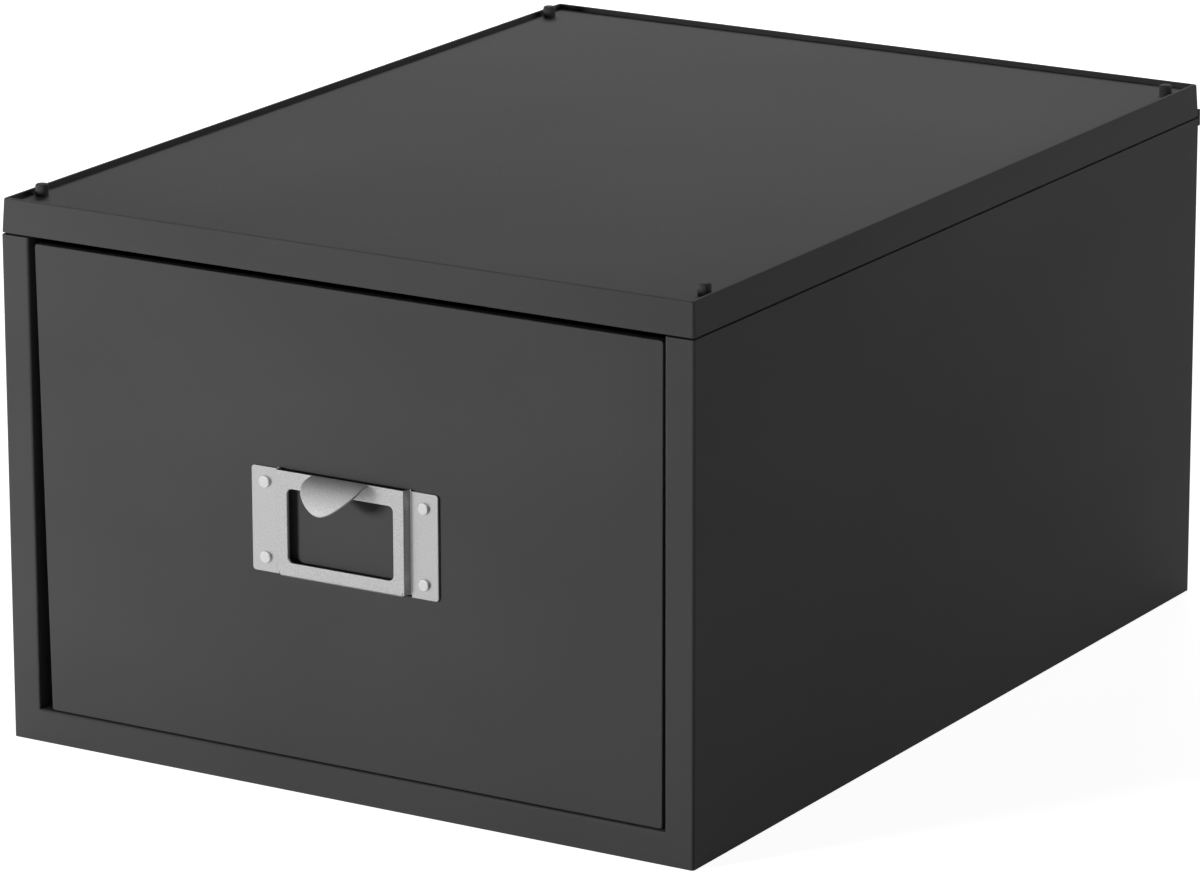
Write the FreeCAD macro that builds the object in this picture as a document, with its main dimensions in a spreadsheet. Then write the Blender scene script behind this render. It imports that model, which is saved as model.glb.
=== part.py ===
import FreeCAD, Part
import math
import os
import re
import Sketcher

# Desktop file drawer: a stackable moulded case with a snapped-on top panel, and one drawer that
# slides out of the front. Millimetres. The origin is the centre of the footprint on the table,
# the drawer opens along -Y and +Z is up.

SIZES = {
    # case shell
    "case_width": 260.0,
    "case_depth": 345.0,
    "case_height": 183.0,
    "wall": 2.5,
    "corner_round": 1.0,
    "post_width": 10.5,
    "rail_height": 11.0,
    "frame_plate": 3.0,
    "frame_depth": 12.0,
    "frame_web": 2.0,
    "frame_round": 1.0,
    "foot_rim": 3.0,
    "foot_height": 3.5,
    "floor_thickness": 2.5,
    "base_rib": 1.6,
    "base_rib_lift": 0.5,
    "base_rib_pitch": 82.0,
    # stacking pegs and sockets
    "peg_radius": 2.2,
    "peg_height": 4.0,
    "peg_round": 0.4,
    "peg_side_inset": 5.5,
    "peg_end_inset": 15.5,
    "socket_clearance": 0.2,
    "socket_wall": 2.2,
    # top panel
    "lid_skirt": 12.0,
    "lid_draft": 0.7,
    "rim_thickness": 1.3,
    "rim_height": 1.8,
    "lid_plate": 2.4,
    "lid_lip": 2.0,
    "lid_lip_depth": 4.0,
    "lid_fit": 0.2,
    "lid_rib": 1.6,
    "lid_rib_depth": 4.0,
    "lid_rib_pitch": 80.0,
    "snap_reach": 0.6,
    "snap_height": 1.2,
    "snap_length": 24.0,
    "snap_spacing": 180.0,
    # rear lid clips
    "clip_length": 9.0,
    "clip_height": 5.7,
    "clip_proud": 2.0,
    "clip_bevel": 0.8,
    "clip_tongue": 2.2,
    "clip_inset": 0.2,
    "clip_shoulder": 1.6,
    # runners
    "runner_width": 14.0,
    "runner_guide": 2.0,
    "runner_guide_rise": 6.0,
    "runner_end_gap": 1.0,
    "guide_play": 1.5,
    "slide_gap": 0.1,
    "dowel_radius": 2.0,
    "dowel_fit": 0.05,
    "dowel_pitch": 130.0,
    # drawer front
    "drawer_recess": 1.0,
    "front_thickness": 3.0,
    "front_left_gap": 2.0,
    "front_left_lean": 2.5,
    "front_right_gap": 1.1,
    "front_right_lean": 0.3,
    "front_top_gap": 1.9,
    "front_bottom_gap": 0.4,
    "front_round": 0.35,
    "front_corner": 1.0,
    # drawer tray
    "tray_side_gap": 5.5,
    "tray_draft": 1.5,
    "tray_lift": 0.9,
    "tray_top_gap": 10.9,
    "tray_wall": 2.0,
    "tray_round": 6.0,
    "tray_back_round": 1.8,
    "tray_back_gap": 6.0,
    "tray_lip": 2.0,
    "tray_lip_height": 1.8,
    # drawer stop
    "travel": 240.0,
    "hook_width": 24.0,
    "hook_length": 6.0,
    "hook_clearance": 1.0,
    "stop_width": 40.0,
    "stop_length": 3.0,
    "rest_rib": 3.0,
    "rest_rib_height": 60.0,
    "rest_rib_spacing": 160.0,
    # screws that hold the drawer front to the tray
    "screw_side_inset": 17.5,
    "screw_floor_inset": 23.0,
    "screw_top_inset": 13.0,
    "boss_radius": 3.5,
    "boss_fit": 0.2,
    "boss_shoulder": 0.2,
    "screw_head_radius": 4.4,
    "screw_head_height": 1.8,
    "screw_radius": 1.5,
    "screw_depth": 3.6,
    "pilot_spare": 0.2,
    # label holder and its rivets
    "holder_shift": 0.5,
    "holder_width": 70.5,
    "holder_height": 35.0,
    "frame_rise": 0.5,
    "holder_sheet": 0.9,
    "holder_corner": 1.2,
    "flange_width": 10.4,
    "holder_step": 3.6,
    "riser_run": 0.7,
    "lip_round": 1.8,
    "lip_play": 0.3,
    "lip_relief": 0.6,
    "window_width": 40.1,
    "window_height": 24.6,
    "window_corner": 1.8,
    "tongue_width": 21.2,
    "tongue_radius": 14.2,
    "tongue_sweep": 68.0,
    "tongue_straight": 5.0,
    "rivet_spacing_across": 60.0,
    "rivet_spacing_up": 25.1,
    "rivet_head_radius": 2.0,
    "rivet_head_height": 1.0,
    "rivet_head_bevel": 0.25,
    "rivet_shank_radius": 1.5,
    "rivet_tail_radius": 2.3,
    "rivet_tail_height": 1.0,
    "washer_radius": 4.0,
    "washer_thickness": 0.8,
    "fastener_fit": 0.05,
    "tail_room": 1.0,
}

# Places that several pieces share, as formulas of the sizes above.
SIDE_X = "(case_width / 2)"
BACK_Y = "(case_depth / 2)"
FRONT_Y = "(-case_depth / 2)"
INSIDE_X = "(case_width / 2 - wall)"
INSIDE_BACK_Y = "(case_depth / 2 - wall)"
OPENING_X = "(case_width / 2 - post_width)"
SEAM_Z = "(case_height - lid_skirt)"
FLOOR_Z = "(foot_height + floor_thickness)"
FRAME_BACK_Y = "(frame_depth - case_depth / 2)"
PEG_X = "(case_width / 2 - peg_side_inset)"
PEG_Y = "(case_depth / 2 - peg_end_inset)"
SNAP_TOP_Z = f"({SEAM_Z} - lid_lip_depth + snap_height * 2)"

PANEL_Y = "(drawer_recess - case_depth / 2)"
PANEL_BACK_Y = f"({PANEL_Y} + front_thickness)"
PANEL_BOTTOM_Z = "(rail_height + front_bottom_gap)"
PANEL_TOP_Z = f"({SEAM_Z} - front_top_gap)"
PANEL_MID_Z = f"(({PANEL_BOTTOM_Z} + {PANEL_TOP_Z}) / 2)"
PANEL_X = "((front_left_gap + front_left_lean / 2 - front_right_gap - front_right_lean / 2) / 2)"

TRAY_Z = "(rail_height + tray_lift)"
TRAY_TOP_Z = f"({PANEL_TOP_Z} - tray_top_gap)"
TRAY_TOP_HALF = f"({OPENING_X} - tray_side_gap)"
TRAY_BASE_HALF = f"({TRAY_TOP_HALF} - tray_draft)"
TRAY_FACE_Y = f"({PANEL_BACK_Y} + tray_wall)"
TRAY_BACK_Y = f"({INSIDE_BACK_Y} - tray_back_gap)"
HOOK_Y = f"({TRAY_BACK_Y} - hook_length)"
STOP_Y = f"({HOOK_Y} - travel - slide_gap)"

RUNNER_TOP_Z = f"({TRAY_Z} - slide_gap)"
GUIDE_X = f"({TRAY_BASE_HALF} + guide_play)"
RUNNER_OUT_X = f"({GUIDE_X} + runner_guide)"
RUNNER_IN_X = f"({RUNNER_OUT_X} - runner_width)"
DOWEL_X = f"(({RUNNER_IN_X} + {GUIDE_X}) / 2)"

HOLDER_X = f"({PANEL_X} + holder_shift)"
HOLDER_BOTTOM_Z = f"({PANEL_MID_Z} - holder_height / 2)"
FLANGE_TOP_Z = f"({PANEL_MID_Z} + holder_height / 2)"
HOLDER_TOP_Z = f"({FLANGE_TOP_Z} + frame_rise)"
RAISED_Y = f"({PANEL_Y} - holder_step)"
RAISED_HALF = "(holder_width / 2 - flange_width - riser_run)"
BEND_Y = f"({RAISED_Y} + holder_sheet / 2)"
WASHER_BACK_Y = f"({PANEL_BACK_Y} + washer_thickness)"

LEFT_AND_RIGHT = (("left", -1), ("right", 1))
CORNERS = ((-1, -1), (1, -1), (-1, 1), (1, 1))
TOUCH = 0.01

doc = FreeCAD.newDocument("desktop_file_drawer")
sheet = doc.addObject("Spreadsheet::Sheet", "sizes")
for row, (alias, size) in enumerate(SIZES.items(), start=1):
    sheet.set(f"A{row}", alias)
    sheet.set(f"B{row}", str(size))
    sheet.setAlias(f"B{row}", alias)
doc.recompute()


def linked(formula):
    """Give a formula of plain size names as an expression that reads them from the sheet."""
    return re.sub(r"\b(?!deg\b)([a-z]\w*)\b(?!\()", r"sizes.\1", formula)


def worth(formula):
    """Give the value of a formula in millimetres."""
    return float(sheet.evalExpression(linked(formula)))


def bind(thing, prop, formula):
    """Tie one property of an object to a formula of the sizes."""
    thing.setExpression(prop, linked(formula))


# --- PartDesign helpers ---------------------------------------------------------------------


def new_body(name):
    """Start the body of one sub-part."""
    body = doc.addObject("PartDesign::Body", name)
    body.Label = name
    return body


def sketch_on(body, name, role, offset="0"):
    """Put a sketch on one of the body's origin planes, moved along its normal."""
    plane = next(feature for feature in body.Origin.OriginFeatures if feature.Role == role)
    sketch = body.newObject("Sketcher::SketchObject", name)
    sketch.AttachmentSupport = [(plane, "")]
    sketch.MapMode = "FlatFace"
    bind(sketch, "AttachmentOffset.Base.z", offset)
    return sketch


def place_point(sketch, geometry, point, across, up):
    """Fix a sketch point at a distance across and up from the sketch's origin."""
    for kind, formula in (("DistanceX", across), ("DistanceY", up)):
        constraint = Sketcher.Constraint(kind, -1, 1, geometry, point, worth(formula))
        number = sketch.addConstraint(constraint)
        sketch.setExpression(f"Constraints[{number}]", linked(formula))


def outline(sketch, corners):
    """Draw a closed outline of straight lines through corners given as pairs of formulas."""
    places = [FreeCAD.Vector(worth(across), worth(up), 0) for across, up in corners]
    first = sketch.GeometryCount
    for start, end in zip(places, places[1:] + places[:1]):
        sketch.addGeometry(Part.LineSegment(start, end), False)
    for index, (across, up) in enumerate(corners):
        line = first + index
        following = first + (index + 1) % len(corners)
        sketch.addConstraint(Sketcher.Constraint("Coincident", line, 2, following, 1))
        place_point(sketch, line, 1, across, up)


def rectangle(sketch, left, right, low, high):
    """Draw an upright rectangle between four formulas."""
    outline(sketch, ((left, low), (right, low), (right, high), (left, high)))


def circle(sketch, across, up, radius):
    """Draw a circle whose centre and radius are formulas."""
    centre = FreeCAD.Vector(worth(across), worth(up), 0)
    ring = sketch.addGeometry(Part.Circle(centre, FreeCAD.Vector(0, 0, 1), worth(radius)), False)
    place_point(sketch, ring, 3, across, up)
    number = sketch.addConstraint(Sketcher.Constraint("Radius", ring, worth(radius)))
    sketch.setExpression(f"Constraints[{number}]", linked(radius))


def sweep_profile(kind, body, name, sketch, length, reverse):
    """Pad or pocket a sketch by a length, along its normal or against it."""
    feature = body.newObject(kind, name)
    feature.Profile = sketch
    feature.Reversed = reverse
    bind(feature, "Length", length)
    return feature


def pad(body, name, sketch, length, reverse=False):
    """Add material along the sketch's normal, or behind it when reversed."""
    return sweep_profile("PartDesign::Pad", body, name, sketch, length, reverse)


def pocket(body, name, sketch, length, reverse=False):
    """Cut material behind the sketch, or along its normal when reversed."""
    return sweep_profile("PartDesign::Pocket", body, name, sketch, length, reverse)


def within(edge, limits):
    """Tell whether an edge lies inside limits such as {"X": (low, high)}."""
    box = edge.BoundBox
    for axis, (low, high) in limits.items():
        if getattr(box, axis + "Min") < low - TOUCH or getattr(box, axis + "Max") > high + TOUCH:
            return False
    return True


def on(value):
    """Give the limits of an edge that lies in a plane."""
    return (value, value)


def round_edges(body, name, radius, *places):
    """Round the edges of the body's tip that lie in any of the places."""
    doc.recompute()
    base = body.Tip
    edges = []
    for number, edge in enumerate(base.Shape.Edges, start=1):
        if any(within(edge, place) for place in places):
            edges.append(f"Edge{number}")
    feature = body.newObject("PartDesign::Fillet", name)
    feature.Base = (base, edges)
    bind(feature, "Radius", radius)


# --- Part helpers ---------------------------------------------------------------------------


def box(name, low, high):
    """Make a box between two corners given as triples of formulas."""
    block = doc.addObject("Part::Box", name)
    for prop, axis, start, end in zip(("Length", "Width", "Height"), "xyz", low, high):
        bind(block, f"Placement.Base.{axis}", start)
        bind(block, prop, f"({end}) - ({start})")
    return block


def rod_back(name, place, radius, length):
    """Make a cylinder that runs back along +Y from a place."""
    rod = doc.addObject("Part::Cylinder", name)
    rod.Placement.Rotation = FreeCAD.Rotation(FreeCAD.Vector(1, 0, 0), -90)
    for axis, formula in zip("xyz", place):
        bind(rod, f"Placement.Base.{axis}", formula)
    bind(rod, "Radius", radius)
    bind(rod, "Height", length)
    return rod


def fuse(name, pieces):
    """Join overlapping pieces into one solid."""
    joined = doc.addObject("Part::MultiFuse", name)
    joined.Shapes = pieces
    joined.Label = name
    return joined


def bevel(name, base, size, place):
    """Bevel the edges of a solid that lie in a place."""
    doc.recompute()
    bevelled = doc.addObject("Part::Chamfer", name)
    bevelled.Base = base
    reach = worth(size)
    bevelled.Edges = [
        (number, reach, reach)
        for number, edge in enumerate(base.Shape.Edges, start=1)
        if within(edge, place)
    ]
    return bevelled


def cut(name, base, tool):
    """Take one solid away from another."""
    remainder = doc.addObject("Part::Cut", name)
    remainder.Base = base
    remainder.Tool = tool
    remainder.Label = name
    return remainder


def group(name, solids):
    """Keep several like solids together as one sub-part."""
    together = doc.addObject("Part::Compound", name)
    together.Links = solids
    together.Label = name
    return together


def rivet_spots():
    """Give a number and the X and Z of each of the label holder's four rivets."""
    spots = []
    for number, (side, rise) in enumerate(CORNERS, start=1):
        spot_x = f"({HOLDER_X} + ({side}) * rivet_spacing_across / 2)"
        spot_z = f"({PANEL_MID_Z} + ({rise}) * rivet_spacing_up / 2)"
        spots.append((number, spot_x, spot_z))
    return spots


def screw_spots():
    """Give a number and the X and Z of each of the four screws that hold the drawer front."""
    spots = []
    for number, (side, rise) in enumerate(CORNERS, start=1):
        spot_x = f"({PANEL_X} + ({side}) * ({TRAY_BASE_HALF} - screw_side_inset))"
        spot_z = f"({TRAY_TOP_Z} - screw_top_inset)" if rise > 0 else f"({TRAY_Z} + screw_floor_inset)"
        spots.append((number, spot_x, spot_z))
    return spots


# --- Case -----------------------------------------------------------------------------------


def make_case_shell():
    """Floor, sides, back and front frame, moulded in one with sockets for stacking below."""
    body = new_body("case_shell")

    block = sketch_on(body, "shell_outline", "XY_Plane")
    rectangle(block, f"-{SIDE_X}", SIDE_X, FRONT_Y, BACK_Y)
    pad(body, "shell_block", block, SEAM_Z)

    inside = sketch_on(body, "shell_inside", "XY_Plane", SEAM_Z)
    rectangle(inside, f"-{INSIDE_X}", INSIDE_X, f"({FRONT_Y} + frame_plate)", INSIDE_BACK_Y)
    pocket(body, "shell_hollow", inside, f"{SEAM_Z} - {FLOOR_Z}")

    opening = sketch_on(body, "opening_outline", "XZ_Plane", f"-{FRONT_Y}")
    rectangle(opening, f"-{OPENING_X}", OPENING_X, "rail_height", f"({SEAM_Z} + lid_skirt)")
    pocket(body, "opening", opening, "frame_plate")

    posts = sketch_on(body, "post_webs", "XY_Plane", FLOOR_Z)
    for side in (-1, 1):
        edges = sorted(
            (f"({side}) * {OPENING_X}", f"({side}) * ({OPENING_X} + frame_web)"), key=worth)
        rectangle(posts, *edges, f"({FRONT_Y} + frame_plate)", FRAME_BACK_Y)
    pad(body, "post_returns", posts, f"{SEAM_Z} - {FLOOR_Z}")

    shelf = sketch_on(body, "rail_shelf_outline", "XY_Plane", "rail_height - frame_web")
    rectangle(shelf, f"-{OPENING_X}", OPENING_X, f"({FRONT_Y} + frame_plate)", FRAME_BACK_Y)
    pad(body, "rail_shelf", shelf, "frame_web")

    round_edges(
        body,
        "opening_round",
        "frame_round",
        {"Y": on(worth(FRONT_Y)), "X": on(-worth(OPENING_X))},
        {"Y": on(worth(FRONT_Y)), "X": on(worth(OPENING_X))},
        {"Y": on(worth(FRONT_Y)), "Z": on(worth("rail_height"))},
    )
    round_edges(
        body,
        "shell_corner_round",
        "corner_round",
        *({"X": on(side * worth(SIDE_X)), "Y": on(end * worth(BACK_Y))} for side, end in CORNERS),
    )

    make_base(body)
    make_stops(body)
    make_shell_fits(body)
    return body


def make_base(body):
    """Recess the underside, with ribs and four stacking sockets."""
    recess = sketch_on(body, "base_recess_outline", "XY_Plane")
    rectangle(recess, f"(foot_rim - {SIDE_X})", f"({SIDE_X} - foot_rim)",
              f"({FRONT_Y} + foot_rim)", f"({BACK_Y} - foot_rim)")
    pocket(body, "base_recess", recess, "foot_height", reverse=True)

    ribs = sketch_on(body, "base_cross_rib_lines", "XY_Plane", "base_rib_lift")
    for step in (-1.5, -0.5, 0.5, 1.5):
        middle = f"({step}) * base_rib_pitch"
        rectangle(ribs, f"(foot_rim / 2 - {SIDE_X})", f"({SIDE_X} - foot_rim / 2)",
                  f"{middle} - base_rib / 2", f"{middle} + base_rib / 2")
    pad(body, "base_cross_ribs", ribs, "foot_height - base_rib_lift + floor_thickness / 2")

    spines = sketch_on(body, "base_long_rib_lines", "XY_Plane", "base_rib_lift")
    for step in (-0.5, 0.5):
        middle = f"({step}) * base_rib_pitch"
        rectangle(spines, f"{middle} - base_rib / 2", f"{middle} + base_rib / 2",
                  f"({FRONT_Y} + foot_rim / 2)", f"({BACK_Y} - foot_rim / 2)")
    pad(body, "base_long_ribs", spines, "foot_height - base_rib_lift + floor_thickness / 2")

    bosses = sketch_on(body, "socket_bosses_outline", "XY_Plane")
    for side, end in CORNERS:
        circle(bosses, f"({side}) * {PEG_X}", f"({end}) * {PEG_Y}",
               "peg_radius + socket_clearance + socket_wall")
    pad(body, "socket_bosses", bosses, "foot_height + floor_thickness / 2")

    sockets = sketch_on(body, "socket_outline", "XY_Plane")
    for side, end in CORNERS:
        circle(sockets, f"({side}) * {PEG_X}", f"({end}) * {PEG_Y}", "peg_radius + socket_clearance")
    pocket(body, "sockets", sockets, "foot_height", reverse=True)


def make_stops(body):
    """Raise the stop that catches the open drawer, and the ribs that the shut drawer rests on."""
    stop = sketch_on(body, "stop_outline", "XY_Plane", FLOOR_Z)
    rectangle(stop, f"{PANEL_X} - stop_width / 2", f"{PANEL_X} + stop_width / 2",
              f"{STOP_Y} - stop_length", STOP_Y)
    pad(body, "drawer_stop", stop, f"{TRAY_Z} - hook_clearance - {FLOOR_Z}")

    rests = sketch_on(body, "rest_rib_outline", "XY_Plane", FLOOR_Z)
    for side in (-1, 1):
        middle = f"{PANEL_X} + ({side}) * rest_rib_spacing / 2"
        rectangle(rests, f"{middle} - rest_rib / 2", f"{middle} + rest_rib / 2",
                  f"{TRAY_BACK_Y} + slide_gap", f"{INSIDE_BACK_Y} + wall / 2")
    pad(body, "rest_ribs", rests, "rest_rib_height")


def make_shell_fits(body):
    """Cut the seats for the top panel's snaps, the rear clips and the runners' dowels."""
    snaps = sketch_on(body, "snap_seat_outline", "XY_Plane", f"{SNAP_TOP_Z} + lid_fit")
    for side, end in CORNERS:
        edges = sorted(
            (f"({side}) * ({INSIDE_X} - lid_fit)", f"({side}) * ({INSIDE_X} + snap_reach)"), key=worth)
        rectangle(snaps, *edges,
                  f"({end}) * snap_spacing / 2 - snap_length / 2 - lid_fit",
                  f"({end}) * snap_spacing / 2 + snap_length / 2 + lid_fit")
    pocket(body, "snap_seats", snaps, "snap_height + 2 * lid_fit")

    notches = sketch_on(body, "clip_notch_outline", "XY_Plane", SEAM_Z)
    for side in (-1, 1):
        rectangle(notches, *clip_tongue_span(side), f"{INSIDE_BACK_Y} - lid_fit", f"{BACK_Y} + lid_fit")
    pocket(body, "clip_notches", notches, "clip_tongue / 2")

    holes = sketch_on(body, "dowel_hole_outline", "XY_Plane", FLOOR_Z)
    for side in (-1, 1):
        for step in (-1, 0, 1):
            circle(holes, f"({side}) * {DOWEL_X}", f"({step}) * dowel_pitch", "dowel_radius + dowel_fit")
    pocket(body, "dowel_holes", holes, "floor_thickness")


def clip_span(side):
    """Give the low and high X of a rear clip."""
    outer = f"({side}) * ({SIDE_X} - clip_inset)"
    inner = f"({side}) * ({SIDE_X} - clip_inset - clip_length)"
    return sorted((outer, inner), key=worth)


def clip_tongue_span(side):
    """Give the low and high X of the tongue that presses into the seam."""
    low, high = clip_span(side)
    return f"{low} + clip_shoulder", f"{high} - clip_shoulder"


def make_top_panel():
    """Lid moulding: drafted skirt, recessed top with a thin rim, pegs, and a locating lip."""
    body = new_body("top_panel")

    block = sketch_on(body, "lid_outline", "XY_Plane", SEAM_Z)
    rectangle(block, f"-{SIDE_X}", SIDE_X, FRONT_Y, BACK_Y)
    skirt = pad(body, "lid_block", block, "lid_skirt")
    bind(skirt, "TaperAngle", "-atan(lid_draft / lid_skirt)")
    draft = worth("lid_draft")
    round_edges(body, "lid_corner_round", "corner_round", *(
        {"X": sorted((side * worth(SIDE_X), side * (worth(SIDE_X) - draft))),
         "Y": sorted((end * worth(BACK_Y), end * (worth(BACK_Y) - draft)))}
        for side, end in CORNERS))

    recess = sketch_on(body, "lid_recess_outline", "XY_Plane", "case_height")
    inset = "(lid_draft + rim_thickness)"
    rectangle(recess, f"{inset} - {SIDE_X}", f"{SIDE_X} - {inset}",
              f"{FRONT_Y} + {inset}", f"{BACK_Y} - {inset}")
    pocket(body, "lid_recess", recess, "rim_height")

    cavity = sketch_on(body, "lid_cavity_outline", "XY_Plane", SEAM_Z)
    inset = "(wall + lid_fit + lid_lip)"
    rectangle(cavity, f"{inset} - {SIDE_X}", f"{SIDE_X} - {inset}",
              f"{FRONT_Y} + {inset}", f"{BACK_Y} - {inset}")
    pocket(body, "lid_cavity", cavity, "lid_skirt - rim_height - lid_plate", reverse=True)

    lip = sketch_on(body, "lid_lip_outline", "XY_Plane", SEAM_Z)
    outer = f"({INSIDE_X} - lid_fit)"
    inner = f"({outer} - lid_lip)"
    front = f"({FRAME_BACK_Y} + lid_fit)"
    back = f"({INSIDE_BACK_Y} - lid_fit)"
    outline(lip, (
        (f"-{outer}", front), (f"-{inner}", front), (f"-{inner}", f"{back} - lid_lip"),
        (inner, f"{back} - lid_lip"), (inner, front), (outer, front), (outer, back), (f"-{outer}", back),
    ))
    pad(body, "lid_lip_ring", lip, "lid_lip_depth", reverse=True)

    ribs = sketch_on(body, "lid_rib_lines", "XY_Plane", "case_height - rim_height - lid_plate / 2")
    for step in (-1.5, -0.5, 0.5, 1.5):
        middle = f"({step}) * lid_rib_pitch"
        rectangle(ribs, f"-{inner}", inner, f"{middle} - lid_rib / 2", f"{middle} + lid_rib / 2")
    pad(body, "lid_ribs", ribs, "lid_rib_depth + lid_plate / 2", reverse=True)

    snaps = sketch_on(body, "lid_snap_outline", "XY_Plane", f"{SNAP_TOP_Z} - snap_height")
    for side, end in CORNERS:
        edges = sorted(
            (f"({side}) * ({outer} - lid_lip / 2)", f"({side}) * ({outer} + snap_reach)"), key=worth)
        rectangle(snaps, *edges,
                  f"({end}) * snap_spacing / 2 - snap_length / 2",
                  f"({end}) * snap_spacing / 2 + snap_length / 2")
    pad(body, "lid_snaps", snaps, "snap_height")

    notches = sketch_on(body, "lid_notch_outline", "XY_Plane", SEAM_Z)
    for side in (-1, 1):
        rectangle(notches, *clip_tongue_span(side), INSIDE_BACK_Y, f"{BACK_Y} + lid_fit")
    pocket(body, "lid_notches", notches, "clip_tongue / 2", reverse=True)

    pegs = sketch_on(body, "peg_outline", "XY_Plane", "case_height - rim_height")
    for side, end in CORNERS:
        circle(pegs, f"({side}) * {PEG_X}", f"({end}) * {PEG_Y}", "peg_radius")
    pad(body, "pegs", pegs, "peg_height")
    peg_top = worth("case_height - rim_height + peg_height")
    round_edges(body, "peg_rounds", "peg_round", {"Z": on(peg_top)})
    return body


def make_lid_clip(name, side):
    """Small clip over the seam at a rear corner, with a tongue pressed into the seam."""
    low, high = clip_span(side)
    plate = box(
        f"{name}_plate",
        (low, BACK_Y, f"{SEAM_Z} - clip_height / 2"),
        (high, f"{BACK_Y} + clip_proud", f"{SEAM_Z} + clip_height / 2"),
    )
    bevelled = bevel(f"{name}_bevelled", plate, "clip_bevel",
                     {"Y": on(worth(f"{BACK_Y} + clip_proud"))})
    tongue_low, tongue_high = clip_tongue_span(side)
    tongue = box(
        f"{name}_tongue",
        (tongue_low, INSIDE_BACK_Y, f"{SEAM_Z} - clip_tongue / 2"),
        (tongue_high, f"{BACK_Y} + clip_proud / 2", f"{SEAM_Z} + clip_tongue / 2"),
    )
    return fuse(name, [bevelled, tongue])


def make_runner(name, side):
    """Slippery rail on the floor with a guide beside the tray, held by three dowels."""
    body = new_body(name)
    start = f"({FRAME_BACK_Y} + runner_end_gap)"
    end = f"({INSIDE_BACK_Y} - tray_back_gap)"
    profile = sketch_on(body, f"{name}_profile", "XZ_Plane", f"-{start}")
    top = RUNNER_TOP_Z
    rise = f"{RUNNER_TOP_Z} + runner_guide_rise"
    outline(profile, [
        (f"({side}) * {across}", up)
        for across, up in (
            (RUNNER_IN_X, FLOOR_Z), (RUNNER_OUT_X, FLOOR_Z), (RUNNER_OUT_X, rise),
            (GUIDE_X, rise), (GUIDE_X, top), (RUNNER_IN_X, top),
        )
    ])
    pad(body, f"{name}_rail", profile, f"{end} - {start}", reverse=True)
    dowels = sketch_on(body, f"{name}_dowel_outline", "XY_Plane", FLOOR_Z)
    for step in (-1, 0, 1):
        circle(dowels, f"({side}) * {DOWEL_X}", f"({step}) * dowel_pitch", "dowel_radius")
    pad(body, f"{name}_dowels", dowels, "floor_thickness", reverse=True)
    return body


# --- Drawer ---------------------------------------------------------------------------------


def make_drawer_front():
    """Flat front panel whose sides lean in towards the bottom, with four short screw bosses."""
    body = new_body("drawer_front")
    left_top = f"(front_left_gap - {OPENING_X})"
    right_top = f"({OPENING_X} - front_right_gap)"
    panel = sketch_on(body, "panel_outline", "XZ_Plane", f"-{PANEL_Y}")
    outline(panel, (
        (f"{left_top} + front_left_lean", PANEL_BOTTOM_Z),
        (f"{right_top} - front_right_lean", PANEL_BOTTOM_Z),
        (right_top, PANEL_TOP_Z),
        (left_top, PANEL_TOP_Z),
    ))
    pad(body, "panel", panel, "front_thickness", reverse=True)

    front, back = worth(PANEL_Y), worth(PANEL_BACK_Y)
    doc.recompute()
    corner_edges = [
        {"X": on(vertex.X), "Z": on(vertex.Z), "Y": (front, back)}
        for vertex in body.Tip.Shape.Vertexes
    ]
    round_edges(body, "panel_corners", "front_corner", *corner_edges)
    round_edges(body, "panel_rounds", "front_round", {"Y": on(front)})

    bosses = sketch_on(body, "boss_outline", "XZ_Plane", f"-{PANEL_BACK_Y}")
    for _, spot_x, spot_z in screw_spots():
        circle(bosses, spot_x, spot_z, "boss_radius")
    pad(body, "bosses", bosses, "tray_wall - boss_shoulder", reverse=True)

    pilots = sketch_on(body, "pilot_outline", "XZ_Plane", f"-({TRAY_FACE_Y} - boss_shoulder)")
    for _, spot_x, spot_z in screw_spots():
        circle(pilots, spot_x, spot_z, "screw_radius + fastener_fit")
    pocket(body, "pilots", pilots, "screw_depth + pilot_spare - boss_shoulder", reverse=True)

    holes = sketch_on(body, "rivet_hole_outline", "XZ_Plane", f"-{PANEL_Y}")
    for _, spot_x, spot_z in rivet_spots():
        circle(holes, spot_x, spot_z, "rivet_shank_radius + fastener_fit")
    pocket(body, "rivet_holes", holes, "front_thickness")
    return body


def make_drawer_tray():
    """Open box of the drawer, with a turned-out rim and a hook below that meets the stop."""
    body = new_body("drawer_tray")
    block = sketch_on(body, "tray_outline", "XZ_Plane", f"-{PANEL_BACK_Y}")
    outline(block, (
        (f"{PANEL_X} - {TRAY_BASE_HALF}", TRAY_Z), (f"{PANEL_X} + {TRAY_BASE_HALF}", TRAY_Z),
        (f"{PANEL_X} + {TRAY_TOP_HALF}", TRAY_TOP_Z), (f"{PANEL_X} - {TRAY_TOP_HALF}", TRAY_TOP_Z),
    ))
    pad(body, "tray_block", block, f"{TRAY_BACK_Y} - {PANEL_BACK_Y}", reverse=True)

    round_edges(
        body,
        "tray_long_rounds",
        "tray_round",
        {"X": on(worth(f"{PANEL_X} - {TRAY_BASE_HALF}"))},
        {"X": on(worth(f"{PANEL_X} + {TRAY_BASE_HALF}"))},
    )

    doc.recompute()
    solid = body.Tip
    top = next(
        number
        for number, face in enumerate(solid.Shape.Faces, start=1)
        if abs(face.BoundBox.ZMin - worth(TRAY_TOP_Z)) < TOUCH
    )
    hollow = body.newObject("PartDesign::Thickness", "tray_hollow")
    hollow.Base = (solid, [f"Face{top}"])
    hollow.Join = "Intersection"
    bind(hollow, "Value", "tray_wall")

    round_edges(
        body,
        "tray_back_rounds",
        "tray_back_round",
        *({"X": span, "Y": on(worth(TRAY_BACK_Y))} for span in tray_side_spans()),
    )
    make_tray_rim(body)
    make_tray_hook(body)
    make_tray_holes(body)
    return body


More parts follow.
